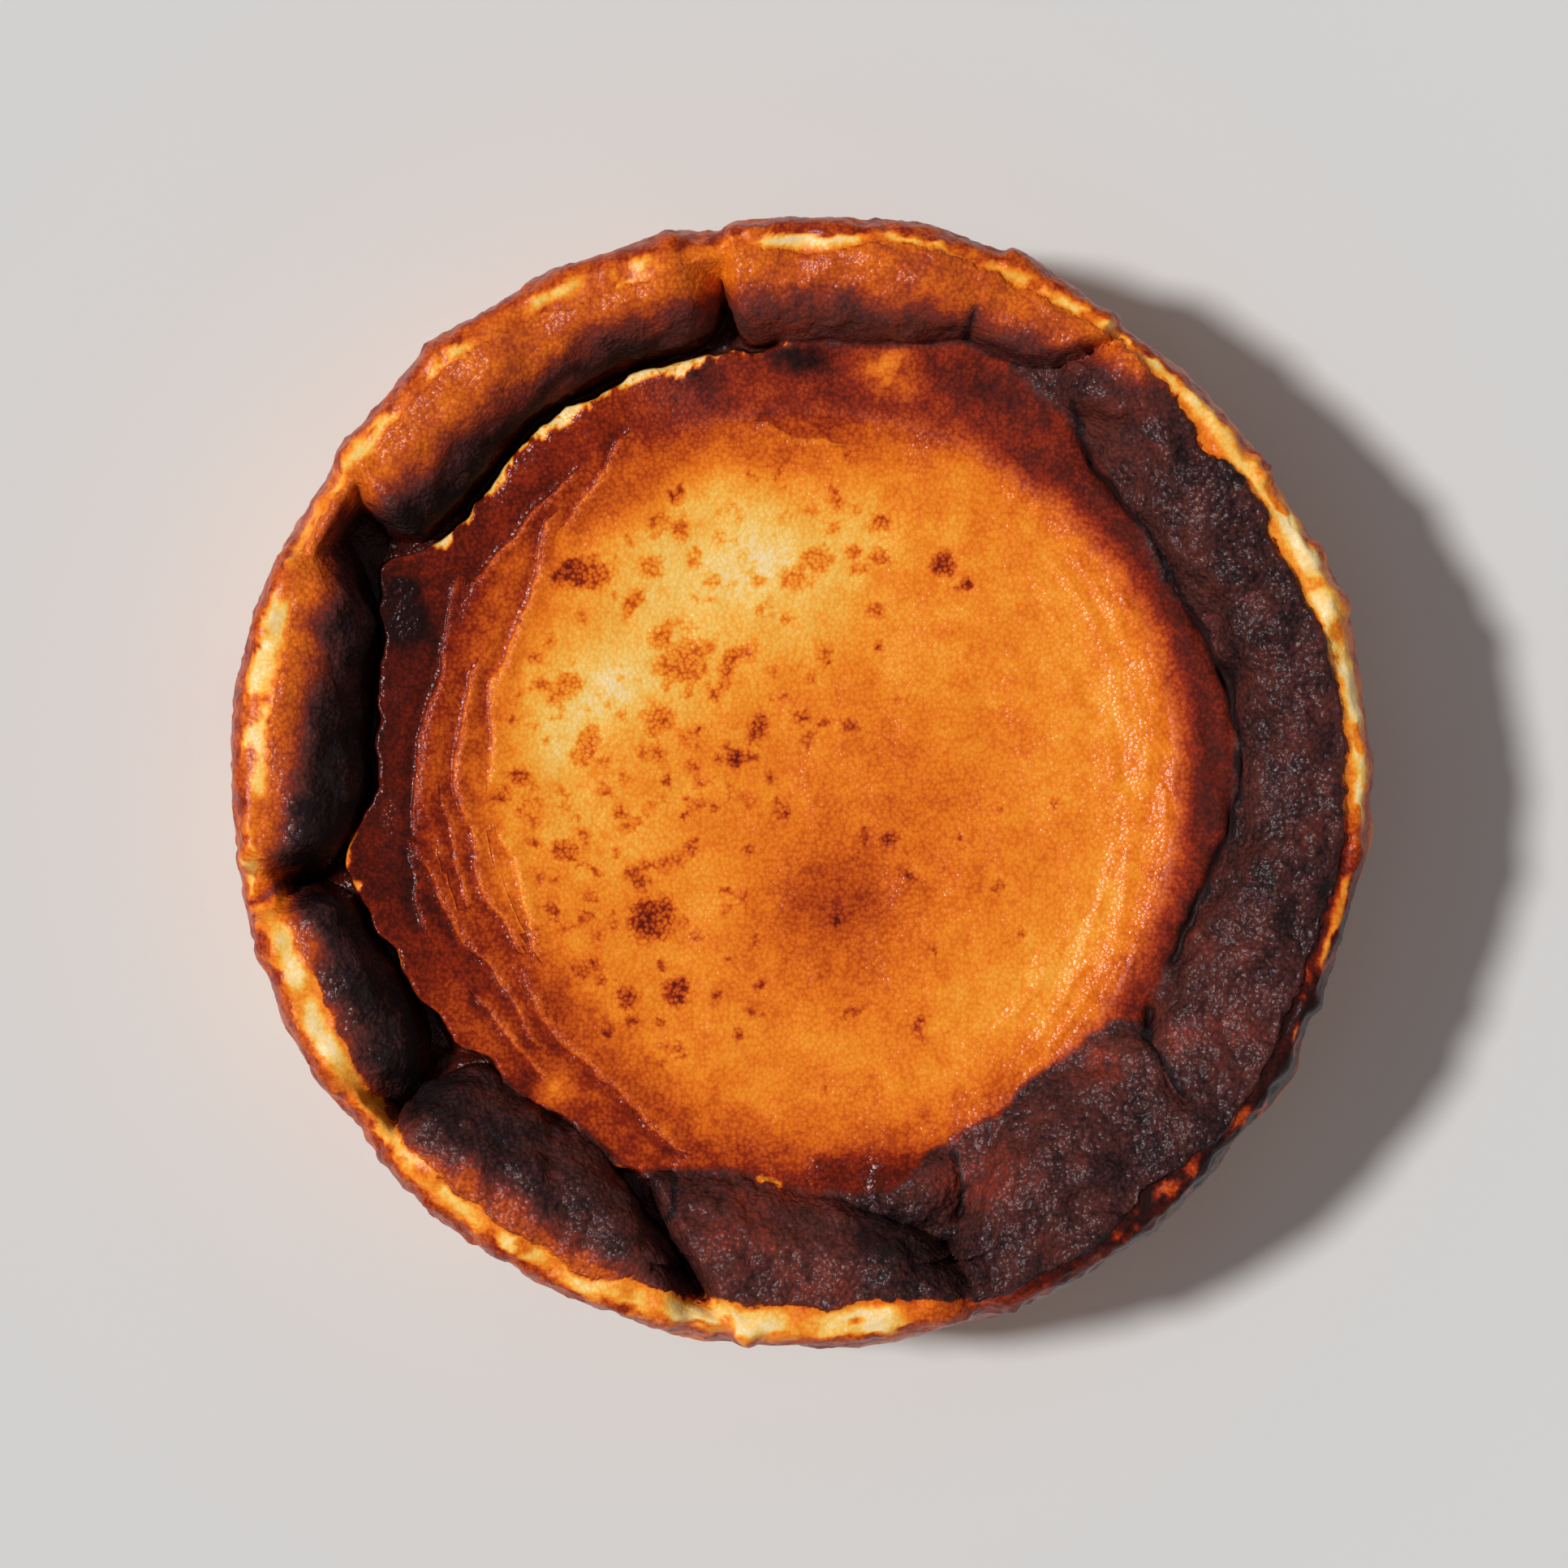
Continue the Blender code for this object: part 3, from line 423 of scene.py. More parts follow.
# Brown spots on the middle: x, y, length, width, tilt, strength
SPOTS = (
    (-38.6, 37.0, 9.4, 4.8, 5, 1.0), (-26.8, 38.2, 4.4, 4.0, 0, 0.9), (-18.8, 39.6, 3.0, 3.2, 0, 0.8),
    (-29.8, 31.9, 5.2, 2.9, 50, 0.9), (-22.2, 50.2, 3.0, 3.0, 0, 0.8), (-22.0, 44.9, 3.4, 3.6, 0, 0.9),
    (2.3, 39.6, 5.2, 4.2, 0, 1.0), (-2.1, 36.3, 5.0, 3.6, -20, 1.0), (-8.0, 35.8, 3.2, 2.8, 0, 0.8),
    (8.6, 40.5, 3.0, 2.6, 0, 0.7), (13.3, 39.8, 3.8, 3.2, 0, 0.6), (13.5, 46.3, 3.2, 3.0, 0, 0.7),
    (24.4, 38.5, 5.0, 4.4, 30, 0.8), (27.8, 35.1, 3.0, 2.6, 0, 0.8), (-3.1, 28.8, 2.8, 2.4, 0, 0.7),
    (-41.6, 16.7, 6.6, 3.6, 40, 1.0), (-38.2, 6.8, 7.4, 4.0, 65, 0.9), (-25.3, 11.7, 5.8, 5.0, 0, 0.8),
    (-21.3, 21.6, 8.6, 6.2, 20, 1.0), (-25.1, 25.3, 4.4, 4.0, 0, 0.7), (-12.7, 21.8, 6.4, 2.6, 60, 0.8),
    (-15.7, 16.0, 3.0, 2.8, 0, 0.7), (-8.2, 9.9, 4.2, 3.8, 0, 0.8), (-11.3, 5.2, 3.9, 3.6, 0, 0.8),
    (-0.3, 12.1, 3.2, 2.8, 0, 0.7), (3.5, 10.7, 2.4, 2.2, 0, 0.7), (-3.4, 15.3, 2.1, 2.0, 0, 0.6),
    (-49.7, 1.1, 3.8, 3.4, 0, 0.7), (-34.9, -0.3, 3.4, 3.0, 0, 0.6), (-41.7, -11.3, 4.4, 3.6, 0, 0.8),
    (-19.5, 2.8, 3.6, 2.6, 0, 0.5), (-32.1, -4.7, 3.0, 2.6, 0, 0.7), (-46.9, 22.5, 3.0, 2.6, 0, 0.5),
    (12.9, 24.2, 2.2, 2.0, 0, 0.7), (-26.4, -23.2, 8.4, 7.2, 20, 0.9), (-21.9, -35.9, 4.2, 4.4, 0, 0.8),
    (-24.8, -31.4, 2.8, 2.2, 0, 0.6), (-13.4, -21.8, 2.6, 2.2, 0, 0.5),
    (-37.3, -19.1, 3.2, 2.6, 0, 0.5), (10.3, -8.5, 2.6, 4.2, 0, 0.5), (15.0, -9.2, 3.0, 2.6, 0, 0.6),
    (18.6, -16.2, 4.6, 2.4, -30, 0.6), (34.3, -17.3, 2.8, 2.2, 0, 0.5), (22.7, -28.6, 2.4, 2.0, 0, 0.5),
    (8.5, -39.8, 3.6, 2.4, 20, 0.4), (20.5, -43.5, 3.0, 2.4, 0, 0.4),
)
# Smaller spots scattered over the left half of the middle
SPECKS = 230
SPECK_REACH = 58.0
SPECK_SEED = 11
SPECK_SHARE = 0.08
SPECK_SLANT = 0.3
SPECK_FADE = (8.0, -24.0)
SPECK_SIZE = (1.5, 3.3)
SPECK_STRETCH = (0.8, 1.3)
SPECK_FLATNESS = (0.6, 1.0)
SPECK_STRENGTH = (0.32, 0.64)
SPOT_FADE = (1.7, 0.3)

# Stretches the side's marks along the paper's creases
UPRIGHT = (1.0, 1.0, 0.16)
# Radius at which the band's marks are drawn: less than the band's own, which stretches them along the rim
BAND_STRETCH = 34.0
# Creases deeper than this are darkest at the bottom, over this half width
DEEP_CREASE = 0.85
CREVICE_WIDTH = 0.6

# Colour of the middle and the band by bake, linear red, green and blue
BAKE_COLOURS = (
    (0.00, (0.93, 0.69, 0.36)), (0.12, (0.95, 0.57, 0.13)), (0.25, (0.94, 0.41, 0.050)),
    (0.36, (0.91, 0.270, 0.019)), (0.47, (0.80, 0.170, 0.010)), (0.58, (0.56, 0.083, 0.006)),
    (0.70, (0.28, 0.022, 0.004)), (0.81, (0.112, 0.009, 0.003)), (0.90, (0.052, 0.006, 0.003)),
    (1.00, (0.016, 0.004, 0.003)),
)
# The same for the rim's crust, which burns to a greyer, mauve brown: partly its own colour and partly
# painted sheen from its glossy slopes
RIM_COLOURS_AND_SHEEN = (
    (0.00, (0.93, 0.69, 0.36)), (0.25, (0.94, 0.41, 0.042)), (0.36, (0.91, 0.275, 0.014)),
    (0.47, (0.80, 0.175, 0.009)), (0.58, (0.54, 0.082, 0.010)), (0.70, (0.25, 0.032, 0.015)),
    (0.81, (0.112, 0.026, 0.020)), (0.90, (0.058, 0.0175, 0.0148)), (1.00, (0.014, 0.0075, 0.008)),
)
SPECULAR = 0.18
SPECULAR_TINT = (1.0, 0.87, 0.90, 1.0)

# Numbers that scramble a cell's place into a random one
HASH_PRIMES = (73856093, 19349663, 83492791)
HASH_SEED = 2654435761
HASH_MIXERS = ((15, 0x2C1B3C6D), (12, 0x297A2D39))
HASH_LAST_SHIFT = 15

# Uneven marks, each of one or more noises: lump size in millimetres, seed, how many layers it has, each
# half as large and as strong as the one before, and strength
UNEVEN = {
    "torn_edge": ((4.0, 31, 1, 0.75), (1.5, 32, 1, 0.28)),
    "slivers": ((3.2, 33, 1, 0.95), (1.3, 34, 1, 0.35)),
    "folded_slivers": ((1.5, 36, 1, 1.0),),
    "crust_edge": ((5.0, 41, 3, 0.8),),
    "rim_edge": ((2.6, 35, 1, 0.5),),
    "side_edge": ((3.0, 43, 1, 2.0),),
    "side_edge_upright": ((9.0, 42, 3, 6.0),),
    "wide_creases": ((11.0, 44, 1, 1.0),),
    "narrow_creases": ((6.0, 45, 1, 1.0),),
    "narrow_places": ((15.0, 46, 1, 1.0),),
    "nibs": ((2.0, 30, 1, 0.8),),
    "rim_lumps": ((4.8, 11, 2, 0.72), (2.0, 13, 1, 0.16), (9.5, 19, 1, 0.55)),
    "smooth_rim": ((3.8, 12, 3, 0.20), (1.7, 14, 1, 0.10)),
    "middle": ((2.6, 21, 3, 0.06),),
    "folds": ((6.0, 66, 1, 0.5),),
    "ripple": ((1.0, 67, 2, 0.26),),
    "band": ((2.6, 27, 3, 0.12),),
    "band_upright": ((4.2, 25, 3, 0.30),),
    "outline_edge": ((2.4, 29, 2, 0.35),),
    "side": ((2.4, 28, 3, 0.12),),
    "side_upright": ((13.0, 47, 2, 0.9),),
    "middle_bake": ((9.0, 71, 3, 0.04),),
    "middle_mottle": ((3.0, 78, 3, 0.05),),
    "ring": ((7.0, 75, 3, 1.2),),
    "edge_start": ((6.0, 76, 3, 0.8),),
    "scorches": ((1.6, 79, 1, 0.7),),
    "crest_turn": ((7.0, 81, 3, 1.5), (1.8, 83, 1, 0.5)),
    "rim_bake": ((3.6, 84, 3, 0.06), (11.0, 87, 1, 0.05)),
    "band_radius": ((1.6, 96, 1, 0.4),),
    "band_radius_drawn": ((4.0, 95, 1, 0.8),),
    "band_angle": ((4.0, 97, 1, 1.2),),
    "band_bake_and_shade": ((3.6, 91, 3, 0.10),),
    "cream_share": ((5.0, 98, 2, 0.5),),
    "cream_bake": ((3.0, 99, 1, 0.08),),
    "blots": ((4.4, 100, 2, 1.0),),
    "strip": ((3.0, 93, 3, 0.5),),
    "strip_bake": ((2.0, 94, 1, 0.08),),
    "flecks": ((3.2, 101, 2, 1.0),),
}
BLISTER_SIZE = 2.4
BLISTER_SEED = 15
BLISTER_HEIGHT = 0.42
WARP_SIZE = 4.0
WARP_SEED = 64
SPOT_WARPS = ((2.4, 61, 0.8), (0.9, 68, 0.35))

# Pairs of values between which something fades in or out: millimetres, degrees, or shares of a size
SLIVER_ENDS = (1.2, 0.7)
NIB_ENDS = (1.3, 0.5)
SLIVER_FADE = (-0.25, 0.25)
SLIVER_EDGE = (0.15, -0.15)
SLIVER_LIP = (-1.0, -0.4)
SLIVER_ABOVE = (2.2, 1.2)
SLIVER_LEVEL = (43.0, 45.0)
FOLD_GROOVE = (-2.6, -0.7)
FOLD_LIP = (-0.7, 0.45)
FOLD_FALL = (0.6, 3.0)
WRINKLE_START = (0.0, 0.2)
WRINKLE_END = (0.8, 1.0)
SWELLING_START = (68.0, 80.0)
SWELLING_END = (92.0, 98.0)
CREASES_END = (96.0, 99.0)
PLEATS_START = (88.0, 94.0)
BAND_START = (-0.4, 0.6)
SIDE_LEVEL = (34.0, 49.0)
SIDE_RADIUS = (90.0, 94.0)
RIPPLE_TURN = (75.0, 40.0)
RIPPLE_RADIUS = (46.0, 56.0)
OUTLINE_LEVEL = (44.0, 50.0)
OUTLINE_RADIUS = (93.5, 96.5)
UNDERSIDE_EDGE = (0.2, 3.0)
RING_FADE = (-9.0, 1.5)
CREAM_ENDS = (1.0, -1.4)
CREAM_SIDES = (0.9, -0.9)
BLOT_FADE = (0.75, 1.05)
FLECK_BAKE = (0.68, 0.8)
FLECK_FADE = (0.4, 0.9)
SCORCH_FADE = (0.10, 0.20)
THIN_SLIVERS = (45.0, 35.0)
FOLDED_SLIVER_FADE = (0.0, 0.4)
RIM_START = (-1.0, 0.8)
WIDE_CREASE = (0.13, 0.0)
NARROW_CREASE = (0.10, 0.0)
NARROW_PLACE = (-0.1, 0.3)
DARK_RIM = (0.62, 0.86)
BLOTS_RADIUS = (94.0, 97.0)
STRIP_FADE = (-0.6, 0.8)
PIT_DEPTH = (0.2, 2.0)
PIT_RADIUS = (90.0, 86.0)
PIT_SHARE = (0.3, 1.0)
MATT_RADIUS = (87.0, 83.0)
STEEP_RADIUS = (63.5, 67.0)
STEEP_TURN = (95.0, 70.0)

# Shares and steps of the relief and the masks
KNOB_POWER = 1.5
SLIVER_MEAN = 0.62
SLIVER_MOST = 1.4
SLIVER_SLOPE = 0.3
FOLDED_SLIVERS = 0.7
CREASE_SHARPNESS = 0.3
WRINKLE_GROOVE = 0.2
WRINKLE_RIDGE = -1.5
CRUST_START = 1.5
NO_ROLL_FOOT = 82.0
NIB_MEAN = 0.9
NIB_MOST = 1.5
RIPPLE_ACROSS = 1.5
RIPPLE_ALONG = 8.0
PAPER_CREASE_DEPTH = 0.7
NARROW_CREASES = 0.7
BLOTS_OUTSIDE = 0.3
STRIP_BAKE = 0.64
CREST_TURN_SHIFT = 0.9
STEEP_MIDDLE = 25.0
THIN_SLIVERS_AT = 215.0
THINNED = 0.4
SCORCHED_COARSE = 0.9
DARK_COARSE = 0.8

# The material's grain: lump size in millimetres, detail and roughness of each noise
GRAIN = (0.8, 3.0, 0.6)
CLUMPS = (2.8, 1.5, 0.5)
MOTTLE = (2.2, 3.0, 0.6)
SPECKLE = (1.1, 3.0, 0.6)
FRAY = (2.6, 3.0, 0.65)
STREAKS = (8.0, 4.0, 0.6)
PEBBLE_SIZE = 0.72
BEAD_SIZE = 1.1
BEAD_SWAY_SCALE = 700.0
BEAD_SWAY = 0.0008
STREAK_STRETCH = (1.0, 1.0, 0.2)
# Where the material's marks start and end
PITS = (0.30, 0.80)
SPOT_STEP = (0.06, 0.78)
FOLD_NEAR = (3.4, 2.2)
GROOVE_INSIDE = (-3.2, -0.4)
GROOVE_OUTSIDE = (0.1, -0.5)
LIP_OUTSIDE = (-0.5, 0.2)
LIP_INSIDE = (2.0, 0.3)
LIP_SPECKLE = (0.3, 0.6)
BAND_EDGE_STEP = (-0.25, 0.35)
RUST_STEP = (1.7, 0.1)
TORN_STEP = (0.50, 0.66)
# What changes the bake, and how much, painted shade and highlights among them
SPOT_LEAST = 0.35
SPOT_SPECKLE = 0.7
PITS_MIDDLE = 0.4
BEADS_MIDDLE = 0.45
FRAY_FAR = 2.4
SPOT_BAKE = 0.21
SPOT_PITS_BAKE = 0.12
# Painted shade in the folds' grooves and painted highlight on their lips
GROOVE_SHADE = 0.09
LIP_HIGHLIGHT = -0.07
RUST_BAKE = 0.44
BAND_MOTTLE = 0.20
# Painted shade at the bottoms of the deep creases, on the crust and on the band
CREVICE_SHADE = 0.22
BAND_CREVICE_SHADE = 0.3
SIDE_BAKE = 0.31
SIDE_STREAKS = 0.75
SIDE_MOTTLE = 0.30
SIDE_CREASES = 0.20
SIDE_FOOT = 0.26
SIDE_FOOT_LEVEL = 0.005
TORN_SPECKLE = 0.30
TORN_MOTTLE = 0.10
GRAIN_BAKE = 0.16
COARSE_GRAIN_BAKE = -0.08
# Pebble tops painted paler and their pits darker, partly brown pits and partly painted highlight and shade;
# the rim's beads are painted lighter on top and darker between
PEBBLE_BROWNING_AND_SHADING = 0.08
BEAD_SHADING = 0.10
# Roughness of the smoothest crust, and what adds to it
SMOOTHEST = 0.09
GRAIN_ROUGHNESS = 0.16
COARSE_ROUGHNESS = 0.14
CREVICE_ROUGHNESS = 0.4
MATT_ROUGHNESS = 0.62
PALE_ROUGHNESS = 0.14
# Bump heights in millimetres
GRAIN_BUMP = 0.10
PEBBLE_BUMP = -0.09
BAND_BUMP_LOSS = -0.4
CLUMP_BUMP = 0.90
BEAD_BUMP = -0.30
FOLD_BUMP = 0.10
BAND_STEP = -0.15
STREAK_BUMP = 0.8

# Camera and light
CAMERA_HEIGHT = 1100.0
CAMERA_PLACE = (-3.44, 0.29)
SENSOR_WIDTH = 36.0
VIEW_WIDTH = 277.3
VIEW_LEVEL = 32.0
CAMERA_REACH = 20.0
SUN_HEADING = 173.0
SUN_ELEVATION = 57.0
SUN_SOFTNESS = 7.0
SUN_STRENGTH = 2.75
FILL_STRENGTH = 0.24
FILL_COLOUR = (0.93, 0.95, 1.0, 1.0)
FLOOR_SIZE = 6000.0
FLOOR_COLOUR = (0.66, 0.655, 0.64)
FLOOR_ROUGHNESS = 0.8


def turn_between(angle, middle):
    """Signed turn from middle to angle, within half a turn."""
    return (angle - middle + TURN / 2) % TURN - TURN / 2


def ramp(value, low, high):
    """Smooth step from 0 at low to 1 at high."""
    t = np.clip((value - low) / (high - low), 0.0, 1.0)
    return t * t * (3.0 - 2.0 * t)


def hump(turn, half_width):
    """Round hump, 1 at no turn and near 0 past its half width."""
    return np.exp(-((turn / half_width) ** 2))


def blend_up(one, other, softness):
    """The higher of two surfaces, with the crease between them filled a little."""
    near = np.clip(softness - np.abs(one - other), 0.0, None) / softness
    return np.maximum(one, other) + near * near * softness / 4.0


def curve(knots, place):
    """Smooth curve through (place, value) knots, which never overshoots them and runs level at its ends."""
    at, value = np.array(knots, float).T
    run = np.diff(at)
    slope = np.diff(value) / run
    tangent = np.zeros_like(value)
    same_way = slope[:-1] * slope[1:] > 0
    total = np.where(same_way, slope[:-1] + slope[1:], 1.0)
    tangent[1:-1] = np.where(same_way, 2.0 * slope[:-1] * slope[1:] / total, 0.0)
    place = np.clip(place, at[0], at[-1])
    i = np.clip(np.searchsorted(at, place, side="right") - 1, 0, len(run) - 1)
    t = (place - at[i]) / run[i]
    between = value[i] * (1 + 2 * t) * (1 - t) ** 2 + value[i + 1] * t * t * (3 - 2 * t)
    return between + run[i] * t * (1 - t) * (tangent[i] * (1 - t) - tangent[i + 1] * t)


def around(knots, angle):
    """Smooth closed curve through (angle, value) knots."""
    before = tuple((at - TURN, value) for at, value in knots[-2:])
    after = tuple((at + TURN, value) for at, value in knots[:2])
    return curve(before + tuple(knots) + after, np.mod(angle, TURN))


def bend(values, t):
    """Parabola through three values at t = 0, 0.5 and 1."""
    first, middle, last = values
    return first * (1 - t) * (1 - 2 * t) + 4 * middle * t * (1 - t) + last * t * (2 * t - 1)


def hashed(cells, seed):
    """Even random number from 0 to 1 for each whole-numbered cell."""
    whole = cells.astype(np.int64).astype(np.uint32)
    mixed = np.uint32((seed * HASH_SEED) % 2**32)
    for axis, prime in enumerate(HASH_PRIMES):
        mixed = mixed ^ (whole[..., axis] * np.uint32(prime))
    for shift, mixer in HASH_MIXERS:
        mixed = (mixed ^ (mixed >> np.uint32(shift))) * np.uint32(mixer)
    mixed = mixed ^ (mixed >> np.uint32(HASH_LAST_SHIFT))
    return mixed / 2.0**32


def noise(points, size, seed):
    """Smooth noise from -1 to 1 at points in millimetres, with lumps about size across."""
    scaled = points / size
    cell = np.floor(scaled)
    t = scaled - cell
    t = t * t * t * (t * (t * 6.0 - 15.0) + 10.0)
    total = 0.0
    for corner in np.ndindex(2, 2, 2):
        weight = np.prod(np.where(corner, t, 1.0 - t), axis=-1)
        total = total + weight * hashed(cell + corner, seed)
    return 2.0 * total - 1.0


def layered(points, size, seed, layers=3):
    """Noise with finer and weaker noise on top of it."""
    return sum(noise(points, size / 2**i, seed + i) / 2**i for i in range(layers))


def uneven(name, points):
    """One of the named uneven marks at points."""
    return sum(
        strength * layered(points, size, seed, layers)
        for size, seed, layers, strength in UNEVEN[name]
    )


def warp(points, size, seed):
    """Level noise that pushes points about, as x, y and 0."""
    sideways = (noise(points, size, seed), noise(points, size, seed + 1), np.zeros(len(points)))
    return np.stack(sideways, axis=1)


def blisters(points, size, seed):
    """Domes about size apart with sharp valleys between them, from 0 in a valley to 1 on a dome."""
    scaled = points / size
    cell = np.floor(scaled)
    nearest = np.full(len(points), np.inf)
    for offset in np.ndindex(3, 3, 3):
        neighbour = cell + offset - 1.0
        jitter = np.stack([hashed(neighbour, seed + i) for i in range(3)], axis=-1)
        nearest = np.minimum(nearest, ((neighbour + jitter - scaled) ** 2).sum(axis=-1))
    return np.clip(1.0 - nearest, 0.0, 1.0)


def flat(radius, angle):
    """The x and y of what lies at a radius and an angle."""
    turned = np.radians(angle)
    return radius * np.cos(turned), radius * np.sin(turned)


def on_torn_edge(angle):
    """Points on a level circle about where the torn edge runs."""
    x, y = flat(DISC_EDGE, angle)
    return np.stack((x, y, np.zeros_like(x)), axis=-1)


def oval(x, y, spot):
    """Squared distance from the middle of an oval (x, y, half length, half width, tilt), 1 on its edge."""
    at_x, at_y, long, wide, tilt = spot
    c, s = np.cos(np.radians(tilt)), np.sin(np.radians(tilt))
    dx, dy = x - at_x, y - at_y
    return ((dx * c + dy * s) / long) ** 2 + ((dy * c - dx * s) / wide) ** 2


def outline(angle):
    """Radius where the side is widest."""
    return CAKE_RADIUS + sum(out * hump(turn_between(angle, at), width) for at, width, out in BULGES)


def pleats(angle, level):
    """How far the paper's creases press into the side."""
    fade = ramp(level, PLEAT_BOTTOM, WIDEST_HEIGHT) * (1.0 - ramp(level, WIDEST_HEIGHT, PLEAT_TOP))
    return fade * sum(depth * hump(turn_between(angle, at), width) for at, width, depth in PLEATS)


def side_radius(angle, level):
    """Radius of the side at a level below the widest place."""
    below = 1.0 - level / WIDEST_HEIGHT
    edge = max(0.0, 1.0 - level / BOTTOM_ROUND)
    rounding = BOTTOM_ROUND * (1.0 - np.sqrt(1.0 - edge * edge))
    return outline(angle) - SIDE_TAPER * below**TAPER_POWER - rounding - pleats(angle, level)


def roll_height(roll, radius, angle, floor):
    """Height of one roll of the rim, which is no higher than its floor where it has ended."""
    widest = outline(angle)
    middle = (sum(roll["start"]) + sum(roll["end"])) / 4.0
    along = middle + turn_between(angle, middle)
    inmost = min(radius for _, radius in roll["foot"])
    outward = np.clip((radius - inmost) / (WALL_CREST - inmost), 0.0, 1.0) ** roll["lean"]
    start = roll["start"][0] + (roll["start"][1] - roll["start"][0]) * outward
    end = roll["end"][0] + (roll["end"][1] - roll["end"][0]) * outward
    foot = curve(roll["foot"], along)
    crest_share = np.clip((along - start) / (end - start), 0.0, 1.0)
    crest = roll["crest"][0] + (roll["crest"][1] - roll["crest"][0]) * crest_share
    arc = np.radians(1.0) * radius
    past_start = 1.0 - (along - start) * arc / roll["ends"][0]
    past_end = 1.0 - (end - along) * arc / roll["ends"][1]
    cap = np.clip(np.maximum(past_start, past_end), 0.0, 1.0)
    inside = radius < crest
    inward = np.clip((crest - radius) / (crest - foot), 0.0, 1.0)
    inner = 1.0 - (1.0 - inward**2) ** (2.0 * roll["swell"])
    ended = 1.0 - (1.0 - cap**2) ** (2.0 * roll["swell"])
    outer = np.clip((radius - crest) / (widest - crest), 0.0, 1.0) ** SHOULDER_POWER
    body = np.clip(1.0 - inner - outer - ended, 0.0, 1.0)
    base = np.where(inside, floor, WIDEST_HEIGHT)
    return np.where(body > 0.0, base + (roll["top"] - base) * np.sqrt(body), 0.0)


def knob_swell(radius, angle):
    """How far the small knobs swell up out of the middle."""
    x, y = flat(radius, angle)
    swell = np.zeros_like(radius)
    for *spot, height in KNOBS:
        swell += height * np.clip(1.0 - oval(x, y, spot), 0.0, 1.0) ** KNOB_POWER
    return swell


def wall_height(radius, angle, floor):
    """Height of the rim's outer wall."""
    widest = outline(angle)
    foot = around(WALL_FOOT, angle)
    inner = np.clip((WALL_CREST - radius) / (WALL_CREST - foot), 0.0, 1.0) ** 2
    outer = np.clip((radius - WALL_CREST) / (widest - WALL_CREST), 0.0, 1.0) ** 2
    base = np.where(radius < WALL_CREST, floor, WIDEST_HEIGHT)
    return base + (around(WALL_TOP, angle) - base) * np.sqrt(1.0 - np.maximum(inner, outer))


def ragged(angle):
    """How far the torn edge juts out of its smooth line: small teeth and bays."""
    return uneven("torn_edge", on_torn_edge(angle))


def sliver(angle):
    """Share and width of the bared ledge at each angle."""
    wavy = np.clip(SLIVER_MEAN + uneven("slivers", on_torn_edge(angle)), 0.0, SLIVER_MOST)
    share, width = np.zeros_like(angle), np.zeros_like(angle)
    for at, half, wide in SLIVERS:
        near = ramp(np.abs(turn_between(angle, at)) / half, *SLIVER_ENDS)
        share = np.maximum(share, near)
        width = np.maximum(width, near * wide * wavy)
    return share, width


def torn_edge(angle):
    """Radius of the middle's torn edge, and how far it is lifted there."""
    lift = sum(up * hump(turn_between(angle, at), width) for at, width, up in LIFTS)
    return around(TORN_EDGE, angle) + ragged(angle), lift


def gap_share(angle):
    """How far the gap between the rim and the torn edge is open, from 0 to 1."""
    (first, deep), (shallow, last) = GAP_ENDS
    angle = np.mod(angle, TURN)
    return ramp(angle, first, deep) * (1.0 - ramp(angle, shallow, last))


def disc_height(radius, angle):
    """Height of the sunken middle, without its torn edge."""
    level = DISC_LEVEL + DISC_RISE * (radius / DISC_EDGE) ** 2
    facing = ramp(np.abs(turn_between(angle, SLOPE_MIDDLE)), SLOPE_REACH, 0.0)
    return level + SLOPE_RISE * facing * ramp(radius, SLOPE_START, DISC_EDGE + 6.0)


def middle_height(radius, angle, floor):
    """Height of the middle with its torn edge, where a sloping ledge before the gap has lost its crust."""
    edge, lift = torn_edge(angle)
    inward = edge - radius
    curl = (LIP_CURL + lift) * np.exp(-np.clip(inward, 0.0, None) / LIP_CURL_WIDTH)
    share, width = sliver(angle)
    lost = CRUST_THICKNESS + SLIVER_SLOPE * np.clip(width - inward, 0.0, width)
    top = disc_height(radius, angle) + curl - share * ramp(width - inward, *SLIVER_FADE) * lost
    return floor + (top - floor) * ramp(inward, -TEAR_WIDTH / 2, TEAR_WIDTH / 2)


def distance_to_path(path, radius, angle):
    """Shortest distance from each place to a line through (angle, radius) points."""
    x, y = flat(radius, angle)
    corners = [flat(r, a) for a, r in path]
    nearest = np.full_like(x, np.inf)
    for (x0, y0), (x1, y1) in zip(corners, corners[1:]):
        run_x, run_y = x1 - x0, y1 - y0
        t = np.clip(((x - x0) * run_x + (y - y0) * run_y) / (run_x**2 + run_y**2), 0.0, 1.0)
        nearest = np.minimum(nearest, np.hypot(x - x0 - t * run_x, y - y0 - t * run_y))
    return nearest


def swayed(points, far):
    """Points moved to and fro a little, so that lines drawn through them come out uneven."""
    return points + far * warp(points, WARP_SIZE, WARP_SEED)


def fold_distance(lines, points):
    """Distance inward from the nearest of some folds, negative on the fold's outer side."""
    radius, angle = polar(swayed(points, FOLD_SWAY))
    nearest = np.full_like(radius, FOLD_FAR)
    for line in lines:
        off = distance_to_path(line, radius, angle)
        knots = line if line[0][0] < line[-1][0] else line[::-1]
        side = np.where(radius < np.interp(angle, *zip(*knots)), 1.0, -1.0)
        nearest = np.where(off < np.abs(nearest), off * side, nearest)
    return nearest


def fold_profile(inward):
    """Height across a fold: a groove on its outer side and a raised lip on its inner side."""
    return ramp(inward, *FOLD_LIP) - 0.5 * ramp(inward, *FOLD_GROOVE) - 0.5 * ramp(inward, *FOLD_FALL)


